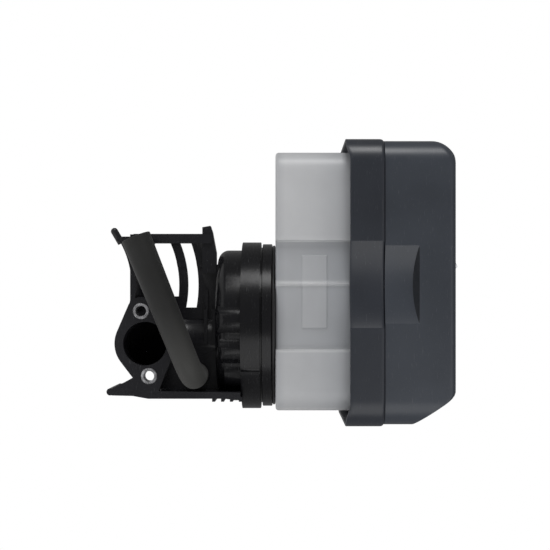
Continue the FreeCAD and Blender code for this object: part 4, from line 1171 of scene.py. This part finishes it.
class HOUSING_OT_elbow(bpy.types.Operator):
    """Build the elbow's mouldings with rounded edges"""
    bl_idname = "housing.elbow"
    bl_label = "Elbow"
    bl_options = {"REGISTER", "UNDO"}

    def execute(self, context):
        for node, edge_mm, look in (("intake_duct", 0.7, "black plastic"),
                                    ("drum", 0.7, "gloss black plastic"),
                                    ("bottom_bracket", 0.5, "black plastic"),
                                    ("side_bracket", 0.6, "black plastic"),
                                    ("control_panel", 0.6, "black plastic")):
            piece = softened_copy(node, node + "_moulding", edge_mm * MM)
            place(piece, "elbow", "black_plastic", finish(look), node)
        return {"FINISHED"}


class HOUSING_OT_seat(bpy.types.Operator):
    """Build the seat ring and its gasket"""
    bl_idname = "housing.seat"
    bl_label = "Seat"
    bl_options = {"REGISTER", "UNDO"}

    def execute(self, context):
        place(build_seat_ring(), "elbow", "black_plastic", finish("gloss black plastic"), "seat_ring")
        place(build_seat_gasket(), "elbow", "rubber", finish("seal rubber"), "seat_gasket")
        return {"FINISHED"}


class HOUSING_OT_metal(bpy.types.Operator):
    """Build the stud, the collars, the washers and the nuts"""
    bl_idname = "housing.metal"
    bl_label = "Metal parts"
    bl_options = {"REGISTER", "UNDO"}

    def execute(self, context):
        zinc = finish("zinc plate")
        place(build_stud(), "elbow", "steel", zinc, "centre_stud")
        for collar in build_collars():
            place(collar, "elbow", "steel", zinc, "flange_collars")
        place(build_washer("stud_washer"), "elbow", "steel", zinc, "stud_washer")
        place(build_washer("nut_washer"), "washer", "steel", zinc, "nut_washer")
        place(softened_copy("stud_lock_nut", "lock_nut", 0.4 * MM), "elbow", "steel", zinc, "stud_lock_nut")
        wing_nut = softened_copy("wing_nut", "wing_nut_casting", 0.6 * MM, segments=3)
        place(wing_nut, "nut", "steel", zinc, "wing_nut")
        return {"FINISHED"}


class HOUSING_OT_element(bpy.types.Operator):
    """Build the element holder, its grids, the foam and the screws"""
    bl_idname = "housing.element"
    bl_label = "Filter element"
    bl_options = {"REGISTER", "UNDO"}

    def execute(self, context):
        for node, edge_mm in (("element_holder", 0.4), ("lower_grid", 0.3), ("upper_grid", 0.3)):
            piece = softened_copy(node, node + "_moulding", edge_mm * MM)
            place(piece, "element", "inner_plastic", finish("inner plastic"), node)
        foam = softened_copy("filter_element", "foam_block", 1.2 * MM, segments=3)
        place(foam, "element", "foam", finish("foam"), "filter_element")
        screws = softened_copy("grid_screws", "screws", 0.15 * MM)
        place(screws, "element", "steel", finish("zinc plate"), "grid_screws")
        return {"FINISHED"}


class HOUSING_OT_seals(bpy.types.Operator):
    """Build the rubber seals and the grommet"""
    bl_idname = "housing.seals"
    bl_label = "Seals"
    bl_options = {"REGISTER", "UNDO"}

    def execute(self, context):
        rubber = finish("seal rubber")
        for node, body in (("chimney_seal", "element"), ("deck_gasket", "element"), ("cap_seal", "cover")):
            place(softened_copy(node, node + "_rubber", 0.2 * MM), body, "rubber", rubber, node)
        place(build_grommet(), "cap", "rubber", rubber, "stud_grommet")
        return {"FINISHED"}


class HOUSING_OT_stage(bpy.types.Operator):
    """Build the floor, the lights, the world and the camera"""
    bl_idname = "housing.stage"
    bl_label = "Stage"
    bl_options = {"REGISTER", "UNDO"}

    def execute(self, context):
        floor = build_floor()
        build_world()
        for light in LIGHTS:
            build_light(*light)
        build_camera()
        context.scene.view_settings.view_transform = "Standard"
        return {"FINISHED"}


OPERATORS = (HOUSING_OT_elbow, HOUSING_OT_seat, HOUSING_OT_tube, HOUSING_OT_bowl, HOUSING_OT_element,
             HOUSING_OT_cover, HOUSING_OT_cap, HOUSING_OT_seals, HOUSING_OT_metal, HOUSING_OT_stage)
GROUPS = {"housing_shells": ShellSizes, "housing_bowl": BowlSizes, "housing_tube": TubeSizes,
          "housing_metal": MetalSizes, "housing_finishes": Finishes, "housing_stage": StageSizes}


class HOUSING_PT_panel(bpy.types.Panel):
    """Buttons that build each group of pieces"""
    bl_label = "Air Filter Housing"
    bl_idname = "HOUSING_PT_panel"
    bl_space_type = "VIEW_3D"
    bl_region_type = "UI"
    bl_category = "Air Filter"

    def draw(self, context):
        for operator in OPERATORS:
            self.layout.operator(operator.bl_idname)


def register():
    """Register the groups, the operators and the panel."""
    for name, group in GROUPS.items():
        bpy.utils.register_class(group)
        setattr(bpy.types.Scene, name, PointerProperty(type=group))
    for operator in OPERATORS:
        bpy.utils.register_class(operator)
    bpy.utils.register_class(HOUSING_PT_panel)


def unregister():
    """Take away what register added."""
    bpy.utils.unregister_class(HOUSING_PT_panel)
    for operator in reversed(OPERATORS):
        bpy.utils.unregister_class(operator)
    for name, group in GROUPS.items():
        delattr(bpy.types.Scene, name)
        bpy.utils.unregister_class(group)


def main():
    """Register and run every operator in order."""
    register()
    for operator in OPERATORS:
        getattr(bpy.ops.housing, operator.bl_idname.split(".")[1])()


if __name__ == "__main__":
    main()
